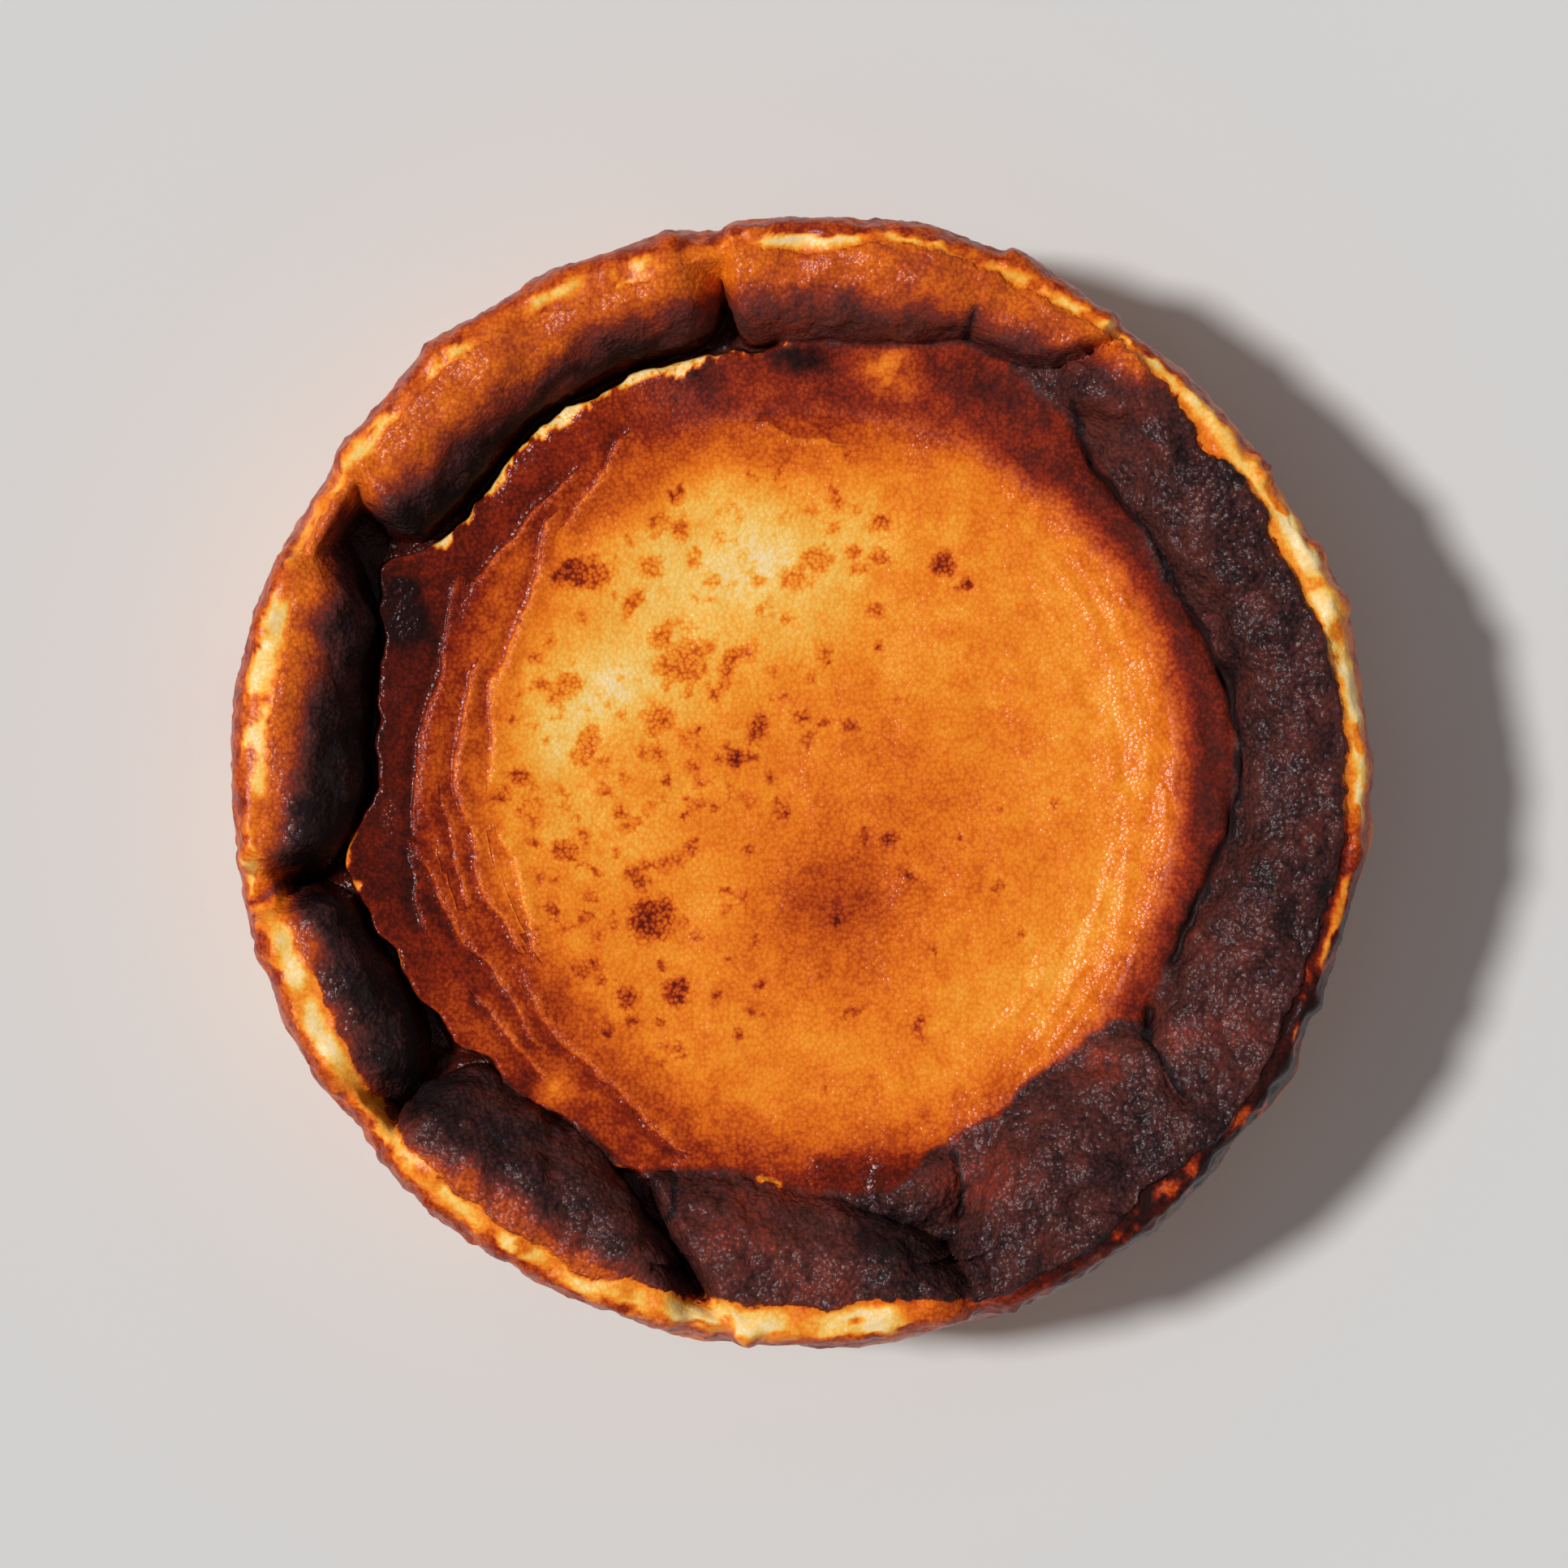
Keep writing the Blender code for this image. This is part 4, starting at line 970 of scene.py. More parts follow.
def crease_depth(radius, angle):
    """How deep the sharp creases cut into the crust."""
    x, y = flat(radius, angle)
    points = np.stack((x.ravel(), y.ravel(), np.full(x.size, DISC_LEVEL)), axis=1)
    radius, angle = (values.reshape(x.shape) for values in polar(swayed(points, CREASE_SWAY)))
    cuts = 0.0
    for path, width, depth in CREASES:
        off = distance_to_path(path, radius, angle) / width
        cuts = cuts + depth * np.exp(-off * off / (CREASE_SHARPNESS + off))
    return cuts


def wrinkle_height(radius, angle):
    """Grooves of the middle's crust, each with a low fold on its inner side."""
    height = np.zeros_like(radius)
    for first, last, r0, r1, r2, depth, width in WRINKLES:
        t = (np.mod(angle, TURN) - first) / (last - first)
        fade = ramp(t, *WRINKLE_START) * (1.0 - ramp(t, *WRINKLE_END))
        off = (radius - bend((r0, r1, r2), np.clip(t, 0.0, 1.0))) / width
        ridge = RIDGE_SHARE * hump(off - WRINKLE_RIDGE, 1.0)
        height += depth * fade * (ridge - hump(off - WRINKLE_GROOVE, 1.0))
    return height * WRINKLES_SHARE


def lumps(x, y, spacing, generator):
    """Uneven lumps between -1 and 1, about the given spacing apart."""
    total = np.zeros_like(x)
    for number in range(SWELLING_WAVES):
        heading = np.pi * (number + generator.random()) / SWELLING_WAVES
        along = x * np.cos(heading) + y * np.sin(heading)
        across = y * np.cos(heading) - x * np.sin(heading)
        wobble = WOBBLE * np.sin(across / spacing * WOBBLE_RATE + 2.0 * np.pi * generator.random())
        total += np.sin(2.0 * np.pi * (along / spacing + generator.random()) + wobble)
    return total / np.sqrt(SWELLING_WAVES * 2.0)


def swelling(radius, angle):
    """Low uneven lumps, strong on the rim and faint over the smooth middle."""
    x, y = flat(radius, angle)
    strength = SWELLING_ON_DISC + (1.0 - SWELLING_ON_DISC) * ramp(radius, *SWELLING_START)
    strength = strength * (1.0 - ramp(radius, *SWELLING_END))
    generator = np.random.default_rng(SWELLING_SEED)
    return strength * sum(height * lumps(x, y, spacing, generator) for spacing, height in SWELLING)


def top_height(radius, angle):
    """Height of the cake's top anywhere inside its widest outline."""
    gap = gap_share(angle)
    floor = SHUT_FLOOR + (GAP_FLOOR - SHUT_FLOOR) * gap
    middle = middle_height(radius, angle, floor) + knob_swell(radius, angle)
    height = blend_up(wall_height(radius, angle, floor), middle, ROLL_SOFTNESS)
    setting = disc_height(np.minimum(radius, DISC_EDGE), angle) - ROLL_SETTING
    foot = floor * gap + setting * (1.0 - gap)
    for roll in ROLLS.values():
        height = blend_up(height, roll_height(roll, radius, angle, foot), ROLL_SOFTNESS)
    cuts = (1.0 - ramp(radius, *CREASES_END)) * crease_depth(radius, angle)
    return height + wrinkle_height(radius, angle) + swelling(radius, angle) - cuts


def column_angles(count):
    """Angles of the columns of facets, closer together at the folds."""
    fine = np.linspace(0.0, TURN, COLUMN_SAMPLES)
    density = np.ones_like(fine)
    for at in FOLD_ANGLES:
        density += FOLD_CROWDING * hump(turn_between(fine, at), FOLD_REACH)
    total = np.concatenate(([0.0], np.cumsum((density[1:] + density[:-1]) / 2.0)))
    return np.interp(np.arange(count) / count, total / total[-1], fine)


def rim_radii(angles):
    """Radii of the rows from the widest place in to the smooth middle, evenly spaced along the surface."""
    share = np.linspace(0.0, 1.0, PROFILE_SAMPLES)[:, None]
    radius = outline(angles) * (1.0 - share) + MIDDLE_RADIUS * share
    height = top_height(radius, np.broadcast_to(angles, radius.shape))
    step = np.hypot(np.diff(radius, axis=0), np.diff(height, axis=0))
    length = np.concatenate((np.zeros((1, len(angles))), np.cumsum(step, axis=0)))
    length /= length[-1]
    for _ in range(3):
        length = (np.roll(length, 1, axis=1) + 2.0 * length + np.roll(length, -1, axis=1)) / 4.0
    wanted = np.arange(RIM_ROWS) / RIM_ROWS
    return np.array([np.interp(wanted, length[:, i], radius[:, i]) for i in range(len(angles))]).T


def ring_at(radius, angle, height):
    """Corners of one ring, in millimetres."""
    x, y = flat(radius, angle)
    return np.stack((x, y, np.broadcast_to(height, x.shape)), axis=1)


def cake_rings():
    """Rings of corners from the underside's edge, up the side and in over the top to near the centre."""
    angles = column_angles(COLUMNS)
    side_levels = LOWEST_LEVELS + tuple(np.linspace(LOWEST_LEVELS[-1], WIDEST_HEIGHT, SIDE_ROWS + 1)[1:-1])
    rings = [ring_at(side_radius(angles, level), angles, level) for level in side_levels]
    for radius in rim_radii(angles):
        height = top_height(radius, angles)
        pressed = pleats(angles, height) * ramp(radius, *PLEATS_START)
        rings.append(ring_at(radius - pressed, angles, height))
    for count, outer, inner, rows in MIDDLE_BANDS:
        kept = angles[:: COLUMNS // count]
        for radius in np.linspace(outer, inner, rows, endpoint=False):
            ring_radius = np.full_like(kept, radius)
            rings.append(ring_at(ring_radius, kept, top_height(ring_radius, kept)))
    return rings


def bridge(lower, upper):
    """Faces between two rings of corner numbers, the upper one with as many corners or half as many."""
    following = np.roll(upper, -1)
    if len(upper) == len(lower):
        return np.stack((lower, np.roll(lower, -1), following, upper), axis=1).tolist()
    even, odd = lower[0::2], lower[1::2]
    faces = []
    for a, b, c, d, e in zip(even, odd, np.roll(even, -1), upper, following):
        faces += [(a, b, d), (b, e, d), (b, c, e)]
    return faces


def close_ring(ring, centre, facing_up):
    """Fan of faces from a ring to a point in its middle."""
    following = np.roll(ring, -1)
    pairs = zip(ring, following) if facing_up else zip(following, ring)
    return [(a, b, centre) for a, b in pairs]


def cake_surface():
    """Corners in millimetres and faces of the closed cake surface."""
    rings = cake_rings()
    numbers = np.split(np.arange(sum(map(len, rings))), np.cumsum([len(ring) for ring in rings])[:-1])
    faces = []
    for lower, upper in zip(numbers, numbers[1:]):
        faces += bridge(lower, upper)
    corners = np.concatenate(rings)
    under, top = len(corners), len(corners) + 1
    centre_height = top_height(np.zeros(1), np.zeros(1))[0]
    faces += close_ring(numbers[0], under, facing_up=False)
    faces += close_ring(numbers[-1], top, facing_up=True)
    return np.concatenate((corners, ((0.0, 0.0, 0.0), (0.0, 0.0, centre_height)))), faces


def polar(points):
    """Radius and angle of points."""
    x, y = points[:, 0], points[:, 1]
    return np.hypot(x, y), np.mod(np.degrees(np.arctan2(y, x)), TURN)


def past_crust(points):
    """How far points lie beyond the outer edge of the rim's dark crust, in millimetres."""
    radius, angle = polar(points)
    return radius - around(BAND_EDGE, angle) - uneven("crust_edge", points)


def rolls_edge(angle):
    """Radius where the rim's crust begins: past the torn edge, or where a roll lies against the middle."""
    gap = gap_share(angle)
    return (around(TORN_EDGE, angle) + CRUST_START) * gap + inner_foot(angle) * (1.0 - gap)


def paper_creases(points):
    """Closeness to the fine upright creases of the paper, from 0 to 1."""
    upright = points * UPRIGHT
    wide = ramp(np.abs(uneven("wide_creases", upright)), *WIDE_CREASE)
    narrow = ramp(np.abs(uneven("narrow_creases", upright)), *NARROW_CREASE)
    narrow *= NARROW_CREASES * ramp(uneven("narrow_places", upright), *NARROW_PLACE)
    return np.maximum(wide, narrow)


def regions(points):
    """Shares of the rim's crust, the outer band and the side at points, each from 0 to 1."""
    radius, angle = polar(points)
    band = ramp(past_crust(points), *BAND_START)
    level = points[:, 2] + uneven("side_edge_upright", points * UPRIGHT) + uneven("side_edge", points)
    side = (1.0 - ramp(level, *SIDE_LEVEL)) * ramp(radius, *SIDE_RADIUS)
    start = rolls_edge(angle) + uneven("rim_edge", points)
    rim = ramp(radius - start, *RIM_START)
    return rim, band, side


def inner_foot(angle):
    """Radius of the rim's inner edge where it lies against the middle."""
    foot = np.full_like(angle, NO_ROLL_FOOT)
    for roll in ROLLS.values():
        start, end = roll["foot"][0][0], roll["foot"][-1][0]
        middle = (start + end) / 2.0
        along = middle + turn_between(angle, middle)
        held = (along >= start) & (along <= end)
        foot = np.where(held, np.minimum(foot, curve(roll["foot"], along)), foot)
    return foot


def nibs(points):
    """How far ragged bits of crust jut out along the outline."""
    angle = polar(points)[1]
    jutting = np.zeros(len(points))
    for at, width, far in NIBS:
        near = ramp(np.abs(turn_between(angle, at)) / width, *NIB_ENDS)
        jutting = np.maximum(jutting, far * near)
    return jutting * np.clip(NIB_MEAN + uneven("nibs", points), 0.0, NIB_MOST)


def relief(points, normals):
    """Points moved out by the fine relief: the rim's lumps, the band's crumpling, the middle's folds."""
    rim, band, side = regions(points)
    radius, angle = polar(points)
    upright = points * UPRIGHT
    coarse = coarseness(points)
    lumpy = uneven("rim_lumps", points)
    lumpy += BLISTER_HEIGHT * (blisters(points, BLISTER_SIZE, BLISTER_SEED) - 0.5)
    height = rim * (1.0 - band) * (coarse * lumpy + (1.0 - coarse) * uneven("smooth_rim", points))
    height += (1.0 - rim) * uneven("middle", points)
    lifted = (1.0 - rim) * (1.0 + uneven("folds", points))
    for lines, lift in zip(FOLDS, FOLD_LIFT):
        height += lifted * lift * fold_profile(fold_distance(lines, points))
    along = np.radians(angle) * radius / RIPPLE_ALONG
    ripple = np.stack((radius / RIPPLE_ACROSS, along, np.zeros(len(points))), axis=1)
    facing = ramp(np.abs(turn_between(angle, 0.0)), *RIPPLE_TURN) * ramp(radius, *RIPPLE_RADIUS)
    height += (1.0 - rim) * facing * uneven("ripple", ripple)
    sunk = around(LEDGE, angle) * (1.0 - side)
    height += band * (uneven("band", points) + uneven("band_upright", upright) - sunk)
    edge = ramp(points[:, 2], *OUTLINE_LEVEL) * ramp(radius, *OUTLINE_RADIUS)
    height += edge * (uneven("outline_edge", points) + nibs(points))
    height += side * (uneven("side", points) + uneven("side_upright", upright))
    height -= side * PAPER_CREASE_DEPTH * paper_creases(points)
    height *= ramp(points[:, 2], *UNDERSIDE_EDGE)
    return points + normals * height[:, None]


def patch_field(points, patches):
    """Sum of soft oval patches."""
    x, y = points[:, 0], points[:, 1]
    return sum(amount * np.exp(-oval(x, y, spot)) for *spot, amount in patches)


def scattered_spots():
    """Small faint spots at random places, most of them in the left half."""
    generator = np.random.default_rng(SPECK_SEED)
    spots = []
    while len(spots) < SPECKS:
        x, y = generator.uniform(-SPECK_REACH, SPECK_REACH, 2)
        leftward = SPECK_SHARE + (1.0 - SPECK_SHARE) * ramp(x - SPECK_SLANT * y, *SPECK_FADE)
        wanted = ramp(np.hypot(x, y), SPECK_REACH, SPECK_REACH - 10.0) * leftward
        if generator.random() < wanted:
            long = generator.uniform(*SPECK_SIZE) * generator.uniform(*SPECK_STRETCH)
            wide = long * generator.uniform(*SPECK_FLATNESS)
            tilt = generator.uniform(0, TURN / 2)
            spots.append((x, y, long, wide, tilt, generator.uniform(*SPECK_STRENGTH)))
    return tuple(spots)


def spot_field(points):
    """Strength of the brown spots, with ragged outlines."""
    moved = points + sum(far * warp(points, size, seed) for size, seed, far in SPOT_WARPS)
    total = np.zeros(len(points))
    for x, y, long, wide, tilt, strength in SPOTS + scattered_spots():
        off = np.sqrt(oval(moved[:, 0], moved[:, 1], (x, y, long / 2, wide / 2, tilt)))
        total = np.maximum(total, strength * ramp(off, *SPOT_FADE))
    return total


def middle_bake(points):
    """Browning of the sunken middle."""
    radius, angle = polar(points)
    bake = MIDDLE_BAKE + patch_field(points, PATCHES) + uneven("middle_bake", points)
    ring = around(RING_RADIUS, angle) + uneven("ring", points)
    ring_bake = around(RING_BAKE, angle)
    bake += (ring_bake - bake) * ramp(radius - ring, *RING_FADE)
    start = around(EDGE_START, angle) + uneven("edge_start", points)
    bake += (around(EDGE_BAKE, angle) - ring_bake) * ramp(radius, start, start + EDGE_SPREAD)
    scorched = patch_field(points, SCORCHES) * (1.0 + uneven("scorches", points))
    return bake + scorched + uneven("middle_mottle", points)


def rim_bake(points):
    """Browning of the rim's crust, with painted shade on its inner walls and patches of painted sheen and
    shade.
    """
    radius, angle = polar(points)
    turn = around(CREST_TURN, angle) + CREST_TURN_SHIFT + uneven("crest_turn", points)
    # Inside the turn, painted shade on the walls that face away from the light darkens the burnt crust
    inside = around(WALL_BAKE_AND_SHADE, angle)
    share = ramp(radius, turn - CREST_TURN_WIDTH, turn + CREST_TURN_WIDTH * 0.6)
    bake = inside + (around(CREST_BAKE, angle) - inside) * share
    # Patches of painted sheen and painted shade on the rim
    return bake + patch_field(points, RIM_SHEEN_AND_SHADE) + uneven("rim_bake", points)


def cream_share(points, drawn):
    """Share of the band's cream patches, broken up by brown blots."""
    radius, angle = polar(points)
    shifted = radius + uneven("band_radius_drawn", drawn) + uneven("band_radius", points)
    turned = angle + uneven("band_angle", points)
    cream = np.zeros_like(radius)
    for first, last, middle, half, share in CREAMS:
        off = np.abs(turn_between(turned, (first + last) / 2.0)) - (last - first) / 2.0
        across = np.abs(shifted - middle) - half
        cream = np.maximum(cream, share * ramp(off, *CREAM_ENDS) * ramp(across, *CREAM_SIDES))
    broken = np.clip(cream * (1.0 + uneven("cream_share", drawn)), 0.0, 1.0)
    blot = uneven("blots", points) + BLOTS_OUTSIDE * ramp(radius, *BLOTS_RADIUS) + around(BLOTS, angle)
    return broken * (1.0 - ramp(blot, *BLOT_FADE))


def band_bake_and_shade(points):
    """Browning of the band outside the crust: soft cream patches, a browned strip along the outline, and
    painted shade on its lower right.
    """
    radius, angle = polar(points)
    x, y = flat(BAND_STRETCH, angle)
    drawn = np.stack((x, y, radius), axis=1)
    # Its lower right is painted dark, partly browned crust and partly painted shade
    bake = around(BAND_BAKE_AND_SHADE, angle) + uneven("band_bake_and_shade", drawn)
    bake += (CREAM_BAKE + uneven("cream_bake", points) - bake) * cream_share(points, drawn)
    strip = around(EDGE_STRIP, angle) * (1.0 + uneven("strip", points))
    edge = 1.0 - ramp(outline(angle) - radius - strip, *STRIP_FADE)
    bake += edge * np.clip(STRIP_BAKE + uneven("strip_bake", points) - bake, 0.0, None)
    flecks = ramp(bake, *FLECK_BAKE) * ramp(uneven("flecks", points), *FLECK_FADE)
    return bake + (STRIP_BAKE - bake) * flecks


def coarseness(points):
    """How coarse the rim's blisters are: the darker the crust, the coarser."""
    angle = polar(points)[1]
    return np.maximum(around(COARSENESS, angle), DARK_COARSE * ramp(rim_bake(points), *DARK_RIM))


def crevice(points):
    """Closeness to the bottom of a deep crease, from 0 to 1, where shade is painted and the finish is
    rougher.
    """
    radius, angle = polar(swayed(points, CREASE_SWAY))
    nearest = np.full_like(radius, FOLD_FAR)
    for path, _, depth in CREASES:
        if depth > DEEP_CREASE:
            nearest = np.minimum(nearest, distance_to_path(path, radius, angle))
    return np.exp(-((nearest / CREVICE_WIDTH) ** 2))


def torn_share(points):
    """Share of the pale torn slivers along the middle's edge."""
    radius, angle = polar(points)
    share, width = sliver(angle)
    gap = gap_share(angle)
    inward = torn_edge(angle)[0] * gap + (inner_foot(angle) + 0.5) * (1.0 - gap) - radius
    above = points[:, 2] - middle_height(radius, angle, np.full_like(radius, GAP_FLOOR))
    torn = share * ramp(inward - width, *SLIVER_EDGE) * ramp(inward, *SLIVER_LIP)
    torn *= ramp(above, *SLIVER_ABOVE) * ramp(points[:, 2], *SLIVER_LEVEL)
    folded_over = FOLDED_SLIVERS * ramp(uneven("folded_slivers", points), *FOLDED_SLIVER_FADE)
    torn *= gap + (1.0 - gap) * folded_over
    return torn * (1.0 - THINNED * ramp(np.abs(turn_between(angle, THIN_SLIVERS_AT)), *THIN_SLIVERS))


def crust_masks(points):
    """Values that the material reads at each corner."""
    rim, _, side = regions(points)
    radius, angle = polar(points)
    depth = disc_height(np.minimum(radius, DISC_EDGE), angle) - points[:, 2]
    pit = ramp(depth, *PIT_DEPTH) * ramp(radius, *PIT_RADIUS)
    crust = rim * (1.0 - pit)
    turned = np.abs(turn_between(angle, STEEP_MIDDLE))
    steep = (1.0 - rim) * ramp(radius, *STEEP_RADIUS) * ramp(turned, *STEEP_TURN)
    bake = middle_bake(points) * (1.0 - rim) + rim_bake(points) * rim
    # The gap's deep floor is painted near-black: partly burnt crust, partly painted shade
    bake += (PIT_BAKE_AND_SHADE - bake) * ramp(pit, *PIT_SHARE)
    scorched = ramp(patch_field(points, SCORCHES), *SCORCH_FADE)
    masks = {
        "bake": bake,
        "past_crust": past_crust(points),
        "band_bake_and_shade": band_bake_and_shade(points),
        "side": side,
        "paper_creases": paper_creases(points),
        "spots": spot_field(points) * (1.0 - rim),
        "coarse": np.maximum(crust * coarseness(points), SCORCHED_COARSE * scorched),
        "crevice": crevice(points),
        "matt": np.maximum(crust * gap_share(angle) * ramp(radius, *MATT_RADIUS), steep),
        "rim": crust,
        "torn": torn_share(points),
    }
    for number, lines in enumerate(FOLDS):
        inward = fold_distance(lines, points)
        masks[f"fold_{number}"] = inward
        masks[f"near_{number}"] = np.abs(inward)
    return masks


def make_mesh(name, corners, faces):
    """Smooth-shaded mesh from corners in millimetres."""
    mesh = bpy.data.meshes.new(name)
    mesh.from_pydata((corners * METRES).tolist(), [], faces)
    mesh.shade_smooth()
    return mesh


def store(mesh, name, values):
    """Keep a value for each corner in the mesh."""
    attribute = mesh.attributes.new(name, "FLOAT", "POINT")
    attribute.data.foreach_set("value", values.astype(np.float32))


def corner_normals(mesh):
    """Outward direction at each corner."""
    normals = np.empty(len(mesh.vertices) * 3, np.float32)
    mesh.vertex_normals.foreach_get("vector", normals)
    return normals.reshape(-1, 3).astype(float)


def make_cake():
    """The whole cake with its crust."""
    corners, faces = cake_surface()
    mesh = make_mesh("cheesecake_crust", corners, faces)
    shaped = relief(corners, corner_normals(mesh))
    mesh.vertices.foreach_set("co", (shaped * METRES).astype(np.float32).ravel())
    mesh.update()
    for name, values in crust_masks(corners).items():
        store(mesh, name, values)
    cake = bpy.data.objects.new("cheesecake_crust", mesh)
    bpy.context.scene.collection.objects.link(cake)
    mesh.materials.append(crust_material())
    return cake


class Nodes:
    """Short way to write a node material."""

    def __init__(self, name):
        self.material = bpy.data.materials.new(name)
        self.material.use_nodes = True
        self.tree = self.material.node_tree
        self.shader = self.tree.nodes["Principled BSDF"]

    def put(self, value, socket):
        """Set a socket, or link another node's output to it."""
        if isinstance(value, bpy.types.NodeSocket):
            self.tree.links.new(value, socket)
        else:
            socket.default_value = value

    def add(self, kind, inputs, output=0, **settings):
        """A node with these settings and inputs; gives its output."""
        node = self.tree.nodes.new(kind)
        for setting, value in settings.items():
            setattr(node, setting, value)
        for socket, value in inputs.items():
            self.put(value, node.inputs[socket])
        return node.outputs[output]

    def attribute(self, name):
        """A value kept in the mesh."""
        return self.add("ShaderNodeAttribute", {}, "Fac", attribute_name=name)

    def math(self, operation, *values):
        """One step of arithmetic."""
        return self.add("ShaderNodeMath", dict(enumerate(values)), operation=operation)

    def total(self, start, *parts):
        """The start with each part added, times its share; parts are (value, share)."""
        for value, share in parts:
            start = self.math("MULTIPLY_ADD", value, share, start)
        return start

    def product(self, first, *others):
        """The values multiplied together."""
        for value in others:
            first = self.math("MULTIPLY", first, value)
        return first

    def centred(self, value, middle=0.5):
        """A value less its middle."""
        return self.math("SUBTRACT", value, middle)

    def steps(self, value, low, high):
        """Smooth step from 0 to 1 as value goes from low to high."""
        inputs = {"Value": value, "From Min": low, "From Max": high}
        return self.add("ShaderNodeMapRange", inputs, interpolation_type="SMOOTHSTEP")

    def noise(self, kind, where):
        """Noise of a kind given as lump size in millimetres, detail and roughness."""
        size, detail, roughness = kind
        inputs = {"Scale": 1.0 / (size * METRES), "Detail": detail, "Roughness": roughness}
        return self.add("ShaderNodeTexNoise", {"Vector": where, **inputs}, "Fac")

    def pebbles(self, size, where):
        """Distance from the middles of pebbles about size millimetres apart, in shares of their size."""
        inputs = {"Vector": where, "Scale": 1.0 / (size * METRES)}
        return self.add("ShaderNodeTexVoronoi", inputs, "Distance")

    def blend(self, share, one, other):
        """One value where share is 0 and the other where it is 1."""
        return self.add("ShaderNodeMix", {0: share, 2: one, 3: other}, data_type="FLOAT")

    def colours(self, value, stops):
        """Colour ramp with (place, colour) stops."""
        node = self.tree.nodes.new("ShaderNodeValToRGB")
        ramp_stops = node.color_ramp.elements
        while len(ramp_stops) < len(stops):
            ramp_stops.new(0.5)
        for stop, (at, colour) in zip(ramp_stops, stops):
            stop.position = at
            stop.color = (*colour, 1.0)
        self.put(value, node.inputs[0])
        return node.outputs[0]


def folded(nodes, crust, speckle):
    """The bake with painted shade in the folds' grooves and painted highlights beaded along their lips, and
    the folds' heights.
    """
    folds = []
    for number in range(len(FOLDS)):
        inward = nodes.attribute(f"fold_{number}")
        near = nodes.steps(nodes.attribute(f"near_{number}"), *FOLD_NEAR)
        groove, lip = (
            nodes.product(near, *(nodes.steps(inward, *step) for step in pair))
            for pair in ((GROOVE_INSIDE, GROOVE_OUTSIDE), (LIP_OUTSIDE, LIP_INSIDE))
        )
        lip = nodes.math("MULTIPLY", lip, nodes.steps(speckle, *LIP_SPECKLE))
        # Painted shade darkens each groove, and a painted highlight, beaded by the speckle, lightens each
        # lip
        crust = nodes.total(crust, (groove, GROOVE_SHADE), (lip, LIP_HIGHLIGHT))
        folds.append(nodes.math("SUBTRACT", lip, groove))
    return crust, folds


def side_walls(nodes, where, streaks, mottle):
    """Bake of the paper-lined side."""
    creases = nodes.attribute("paper_creases")
    level = nodes.add("ShaderNodeSeparateXYZ", {"Vector": where}, "Z")
    foot = nodes.steps(level, SIDE_FOOT_LEVEL, 0.0)
    streaked = (nodes.centred(streaks), SIDE_STREAKS)
    mottled = (nodes.centred(mottle), SIDE_MOTTLE)
    return nodes.total(SIDE_BAKE, streaked, mottled, (creases, SIDE_CREASES), (foot, SIDE_FOOT))


def swayed_place(nodes, where):
    """The place moved to and fro a little, so that the beads come out uneven."""
    inputs = {"Vector": where, "Scale": BEAD_SWAY_SCALE, "Detail": 2.0}
    sway = nodes.add("ShaderNodeTexNoise", inputs, "Color")
    sway = nodes.add("ShaderNodeVectorMath", {0: sway, 1: (-0.5, -0.5, -0.5)}, operation="ADD")
    sway = nodes.add("ShaderNodeVectorMath", {0: sway, 3: BEAD_SWAY}, operation="SCALE")
    return nodes.add("ShaderNodeVectorMath", {0: where, 1: sway}, operation="ADD")


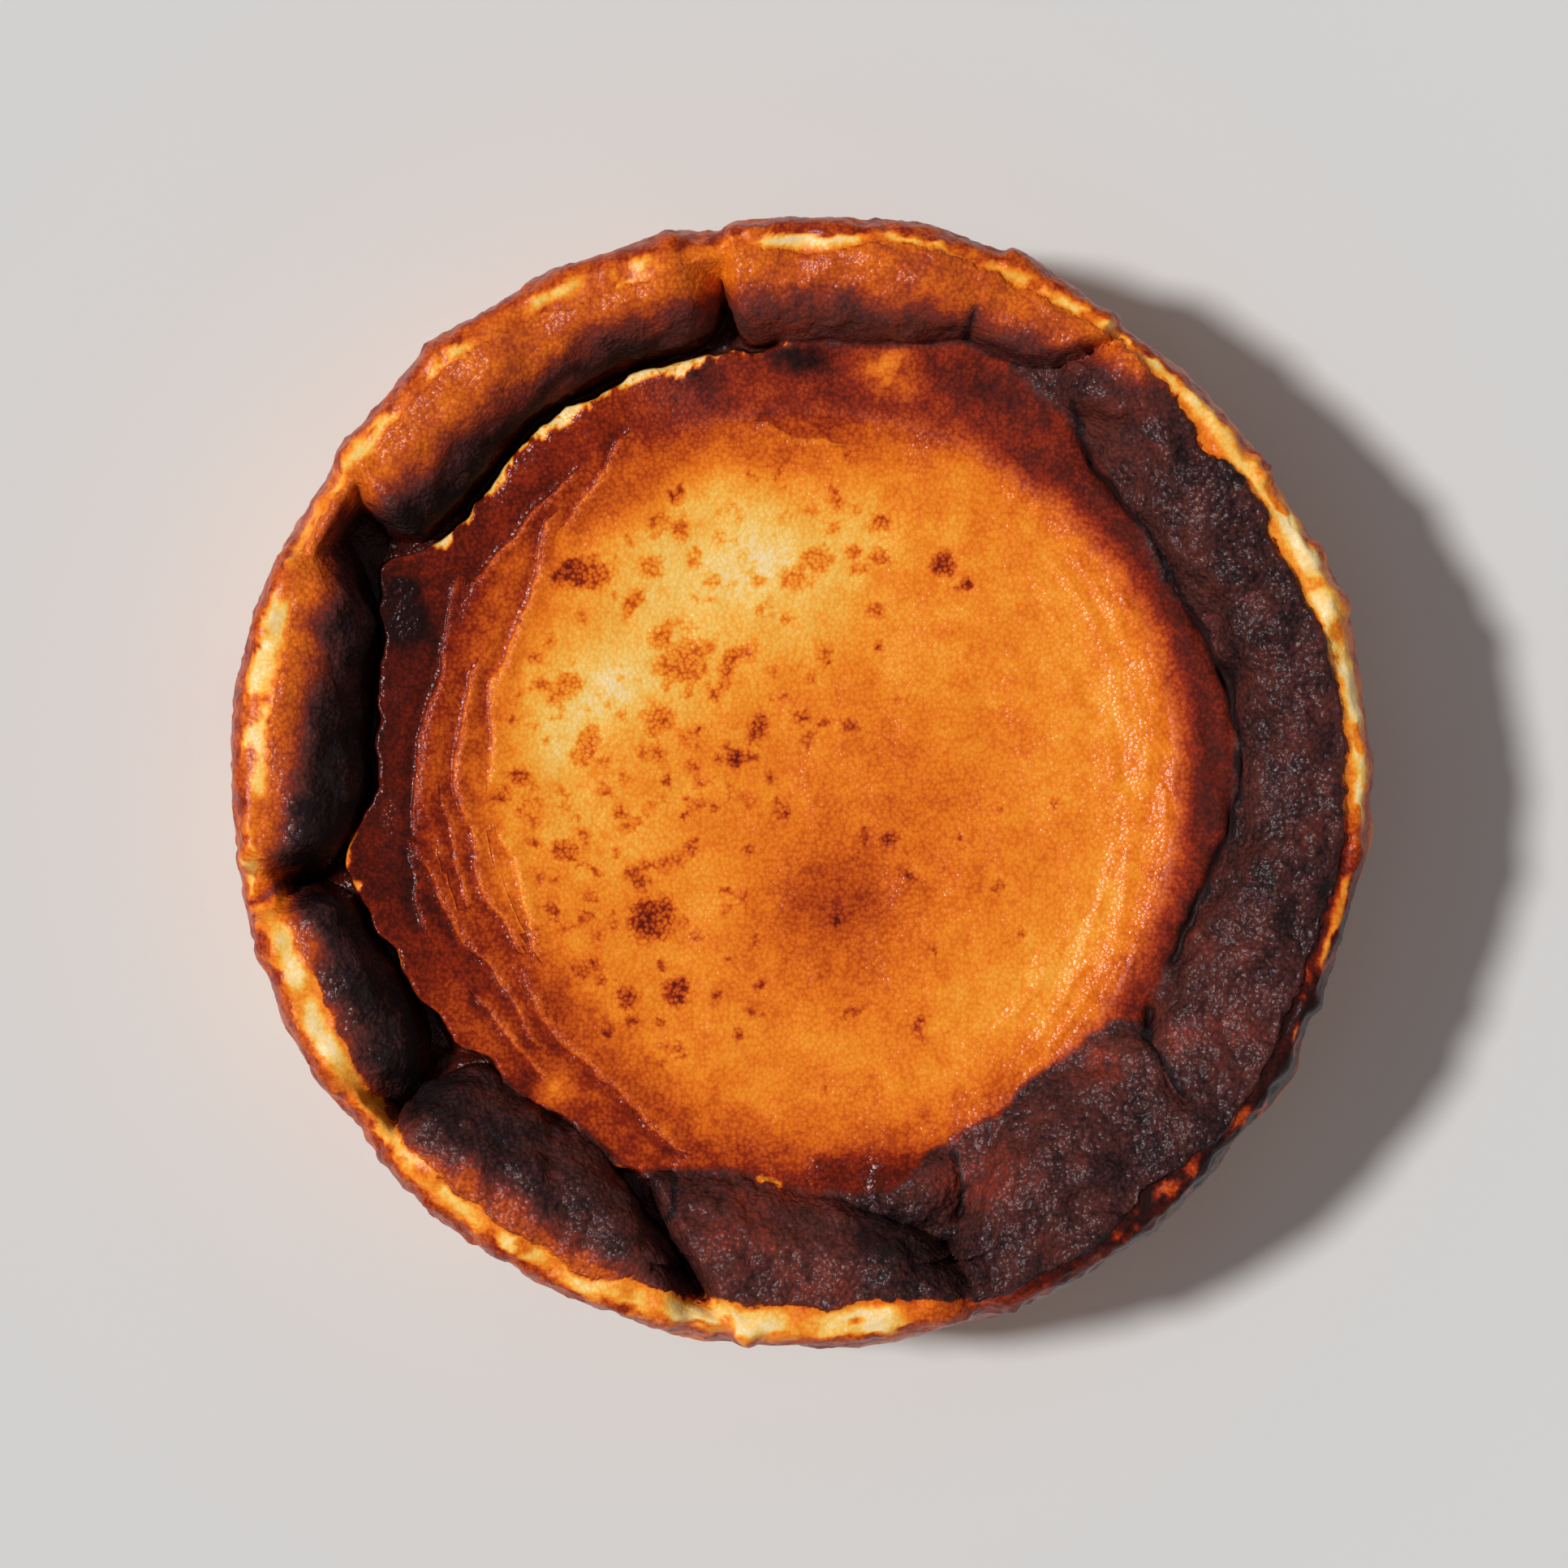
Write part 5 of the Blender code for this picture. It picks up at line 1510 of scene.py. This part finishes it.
def crust_material():
    """Glossy blistered crust, whose colour follows its browning and the shade, highlights and sheen painted
    into it.
    """
    nodes = Nodes("browned_crust_looks")
    nodes.put(SPECULAR, nodes.shader.inputs["Specular IOR Level"])
    nodes.put(SPECULAR_TINT, nodes.shader.inputs["Specular Tint"])
    where = nodes.add("ShaderNodeTexCoord", {}, "Object")
    upright = nodes.add("ShaderNodeMapping", {"Vector": where, "Scale": STREAK_STRETCH})
    coarse = nodes.attribute("coarse")
    side = nodes.attribute("side")
    crevices = nodes.attribute("crevice")

    grain = nodes.noise(GRAIN, where)
    clumps = nodes.noise(CLUMPS, where)
    mottle = nodes.noise(MOTTLE, where)
    speckle = nodes.noise(SPECKLE, where)
    streaks = nodes.noise(STREAKS, upright)
    pebbles = nodes.pebbles(PEBBLE_SIZE, where)
    beads = nodes.pebbles(BEAD_SIZE, swayed_place(nodes, where))
    pits = nodes.steps(pebbles, *PITS)

    spots = nodes.total(nodes.centred(nodes.attribute("spots"), SPOT_LEAST), (speckle, SPOT_SPECKLE))
    spot_bake = nodes.total(SPOT_BAKE, (pits, SPOT_PITS_BAKE))
    crust = nodes.total(nodes.attribute("bake"), (nodes.steps(spots, *SPOT_STEP), spot_bake))
    crust, folds = folded(nodes, crust, speckle)
    # Painted shade at the bottoms of the deep creases
    crust = nodes.total(crust, (crevices, CREVICE_SHADE))

    fray = nodes.centred(nodes.noise(FRAY, where))
    past = nodes.total(nodes.attribute("past_crust"), (fray, FRAY_FAR))
    band = nodes.steps(past, *BAND_EDGE_STEP)
    rusty = nodes.math("MULTIPLY", nodes.steps(past, *RUST_STEP), RUST_BAKE)
    pale = nodes.math("MAXIMUM", rusty, nodes.attribute("band_bake_and_shade"))
    # Painted shade in the deep creases that cross the band
    pale = nodes.total(pale, (nodes.centred(mottle), BAND_MOTTLE), (crevices, BAND_CREVICE_SHADE))
    pale = nodes.blend(side, pale, side_walls(nodes, where, streaks, mottle))
    browned = nodes.blend(band, crust, pale)
    torn = nodes.total(0.0, (mottle, TORN_MOTTLE), (nodes.steps(speckle, *TORN_STEP), TORN_SPECKLE))
    browned = nodes.blend(nodes.attribute("torn"), browned, torn)
    grainy = nodes.total(GRAIN_BAKE, (coarse, COARSE_GRAIN_BAKE))
    pitted = nodes.centred(pits, PITS_MIDDLE)
    beaded = nodes.math("MULTIPLY", nodes.centred(beads, BEADS_MIDDLE), coarse)
    grained = nodes.centred(grain)
    # Pebble and bead tops painted paler and pits darker: partly browning, partly painted highlight and
    # shade
    browned = nodes.total(browned, (grained, grainy), (pitted, PEBBLE_BROWNING_AND_SHADING), (beaded, BEAD_SHADING))
    inside = nodes.math("SUBTRACT", 1.0, band)
    rim_crust_share = nodes.math("MULTIPLY", nodes.attribute("rim"), inside)
    # The rim's greyer mauve colours carry painted sheen as well as its own burnt brown
    colours = {6: nodes.colours(browned, BAKE_COLOURS), 7: nodes.colours(browned, RIM_COLOURS_AND_SHEEN)}
    colour = nodes.add("ShaderNodeMix", {0: rim_crust_share, **colours}, 2, data_type="RGBA")
    nodes.put(colour, nodes.shader.inputs["Base Color"])

    coarse = nodes.math("MULTIPLY", coarse, inside)
    roughness = nodes.total(
        SMOOTHEST,
        (grain, GRAIN_ROUGHNESS),
        (coarse, COARSE_ROUGHNESS),
        (crevices, CREVICE_ROUGHNESS),
        (nodes.attribute("matt"), MATT_ROUGHNESS),
        (nodes.math("MAXIMUM", side, band), PALE_ROUGHNESS),
    )
    nodes.put(roughness, nodes.shader.inputs["Roughness"])

    fine = nodes.total(0.0, (grain, GRAIN_BUMP), (pebbles, PEBBLE_BUMP))
    fine = nodes.math("MULTIPLY", fine, nodes.total(1.0, (band, BAND_BUMP_LOSS)))
    rough = nodes.total(0.0, (clumps, CLUMP_BUMP), (beads, BEAD_BUMP))
    height = nodes.total(fine, (rough, coarse), *((fold, FOLD_BUMP) for fold in folds))
    streaked = nodes.math("MULTIPLY", side, streaks)
    height = nodes.total(height, (band, BAND_STEP), (streaked, STREAK_BUMP))
    bump = nodes.add("ShaderNodeBump", {"Strength": 1.0, "Distance": METRES, "Height": height}, "Normal")
    nodes.put(bump, nodes.shader.inputs["Normal"])
    return nodes.material


def make_floor():
    """Plain pale floor under the cake."""
    half = FLOOR_SIZE / 2
    corners = np.array(((-half, -half, 0.0), (half, -half, 0.0), (half, half, 0.0), (-half, half, 0.0)))
    mesh = make_mesh("floor", corners, [(0, 1, 2, 3)])
    nodes = Nodes("pale_floor")
    nodes.put((*FLOOR_COLOUR, 1.0), nodes.shader.inputs["Base Color"])
    nodes.put(FLOOR_ROUGHNESS, nodes.shader.inputs["Roughness"])
    mesh.materials.append(nodes.material)
    floor = bpy.data.objects.new("floor", mesh)
    bpy.context.scene.collection.objects.link(floor)


def make_light():
    """Soft key light from the left, and an even fill from all round."""
    scene = bpy.context.scene
    key = bpy.data.lights.new("key", "SUN")
    key.energy = SUN_STRENGTH
    key.angle = np.radians(SUN_SOFTNESS)
    lamp = bpy.data.objects.new("key", key)
    scene.collection.objects.link(lamp)
    level = np.cos(np.radians(SUN_ELEVATION))
    towards = Vector((*flat(level, SUN_HEADING), np.sin(np.radians(SUN_ELEVATION))))
    lamp.rotation_euler = towards.to_track_quat("Z", "Y").to_euler()
    world = bpy.data.worlds.new("studio")
    world.use_nodes = True
    background = world.node_tree.nodes["Background"]
    background.inputs["Color"].default_value = FILL_COLOUR
    background.inputs["Strength"].default_value = FILL_STRENGTH
    scene.world = world
    scene.view_settings.view_transform = "Standard"


def make_camera():
    """Camera straight above the cake."""
    camera = bpy.data.cameras.new("camera")
    camera.sensor_width = SENSOR_WIDTH
    camera.lens = SENSOR_WIDTH * (CAMERA_HEIGHT - VIEW_LEVEL) / VIEW_WIDTH
    camera.clip_end = CAMERA_REACH
    holder = bpy.data.objects.new("camera", camera)
    holder.location = Vector((*CAMERA_PLACE, CAMERA_HEIGHT)) * METRES
    bpy.context.scene.collection.objects.link(holder)
    bpy.context.scene.camera = holder


make_camera()
make_light()
make_floor()
cake = make_cake()
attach(cake, "root")
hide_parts("cheesecake")
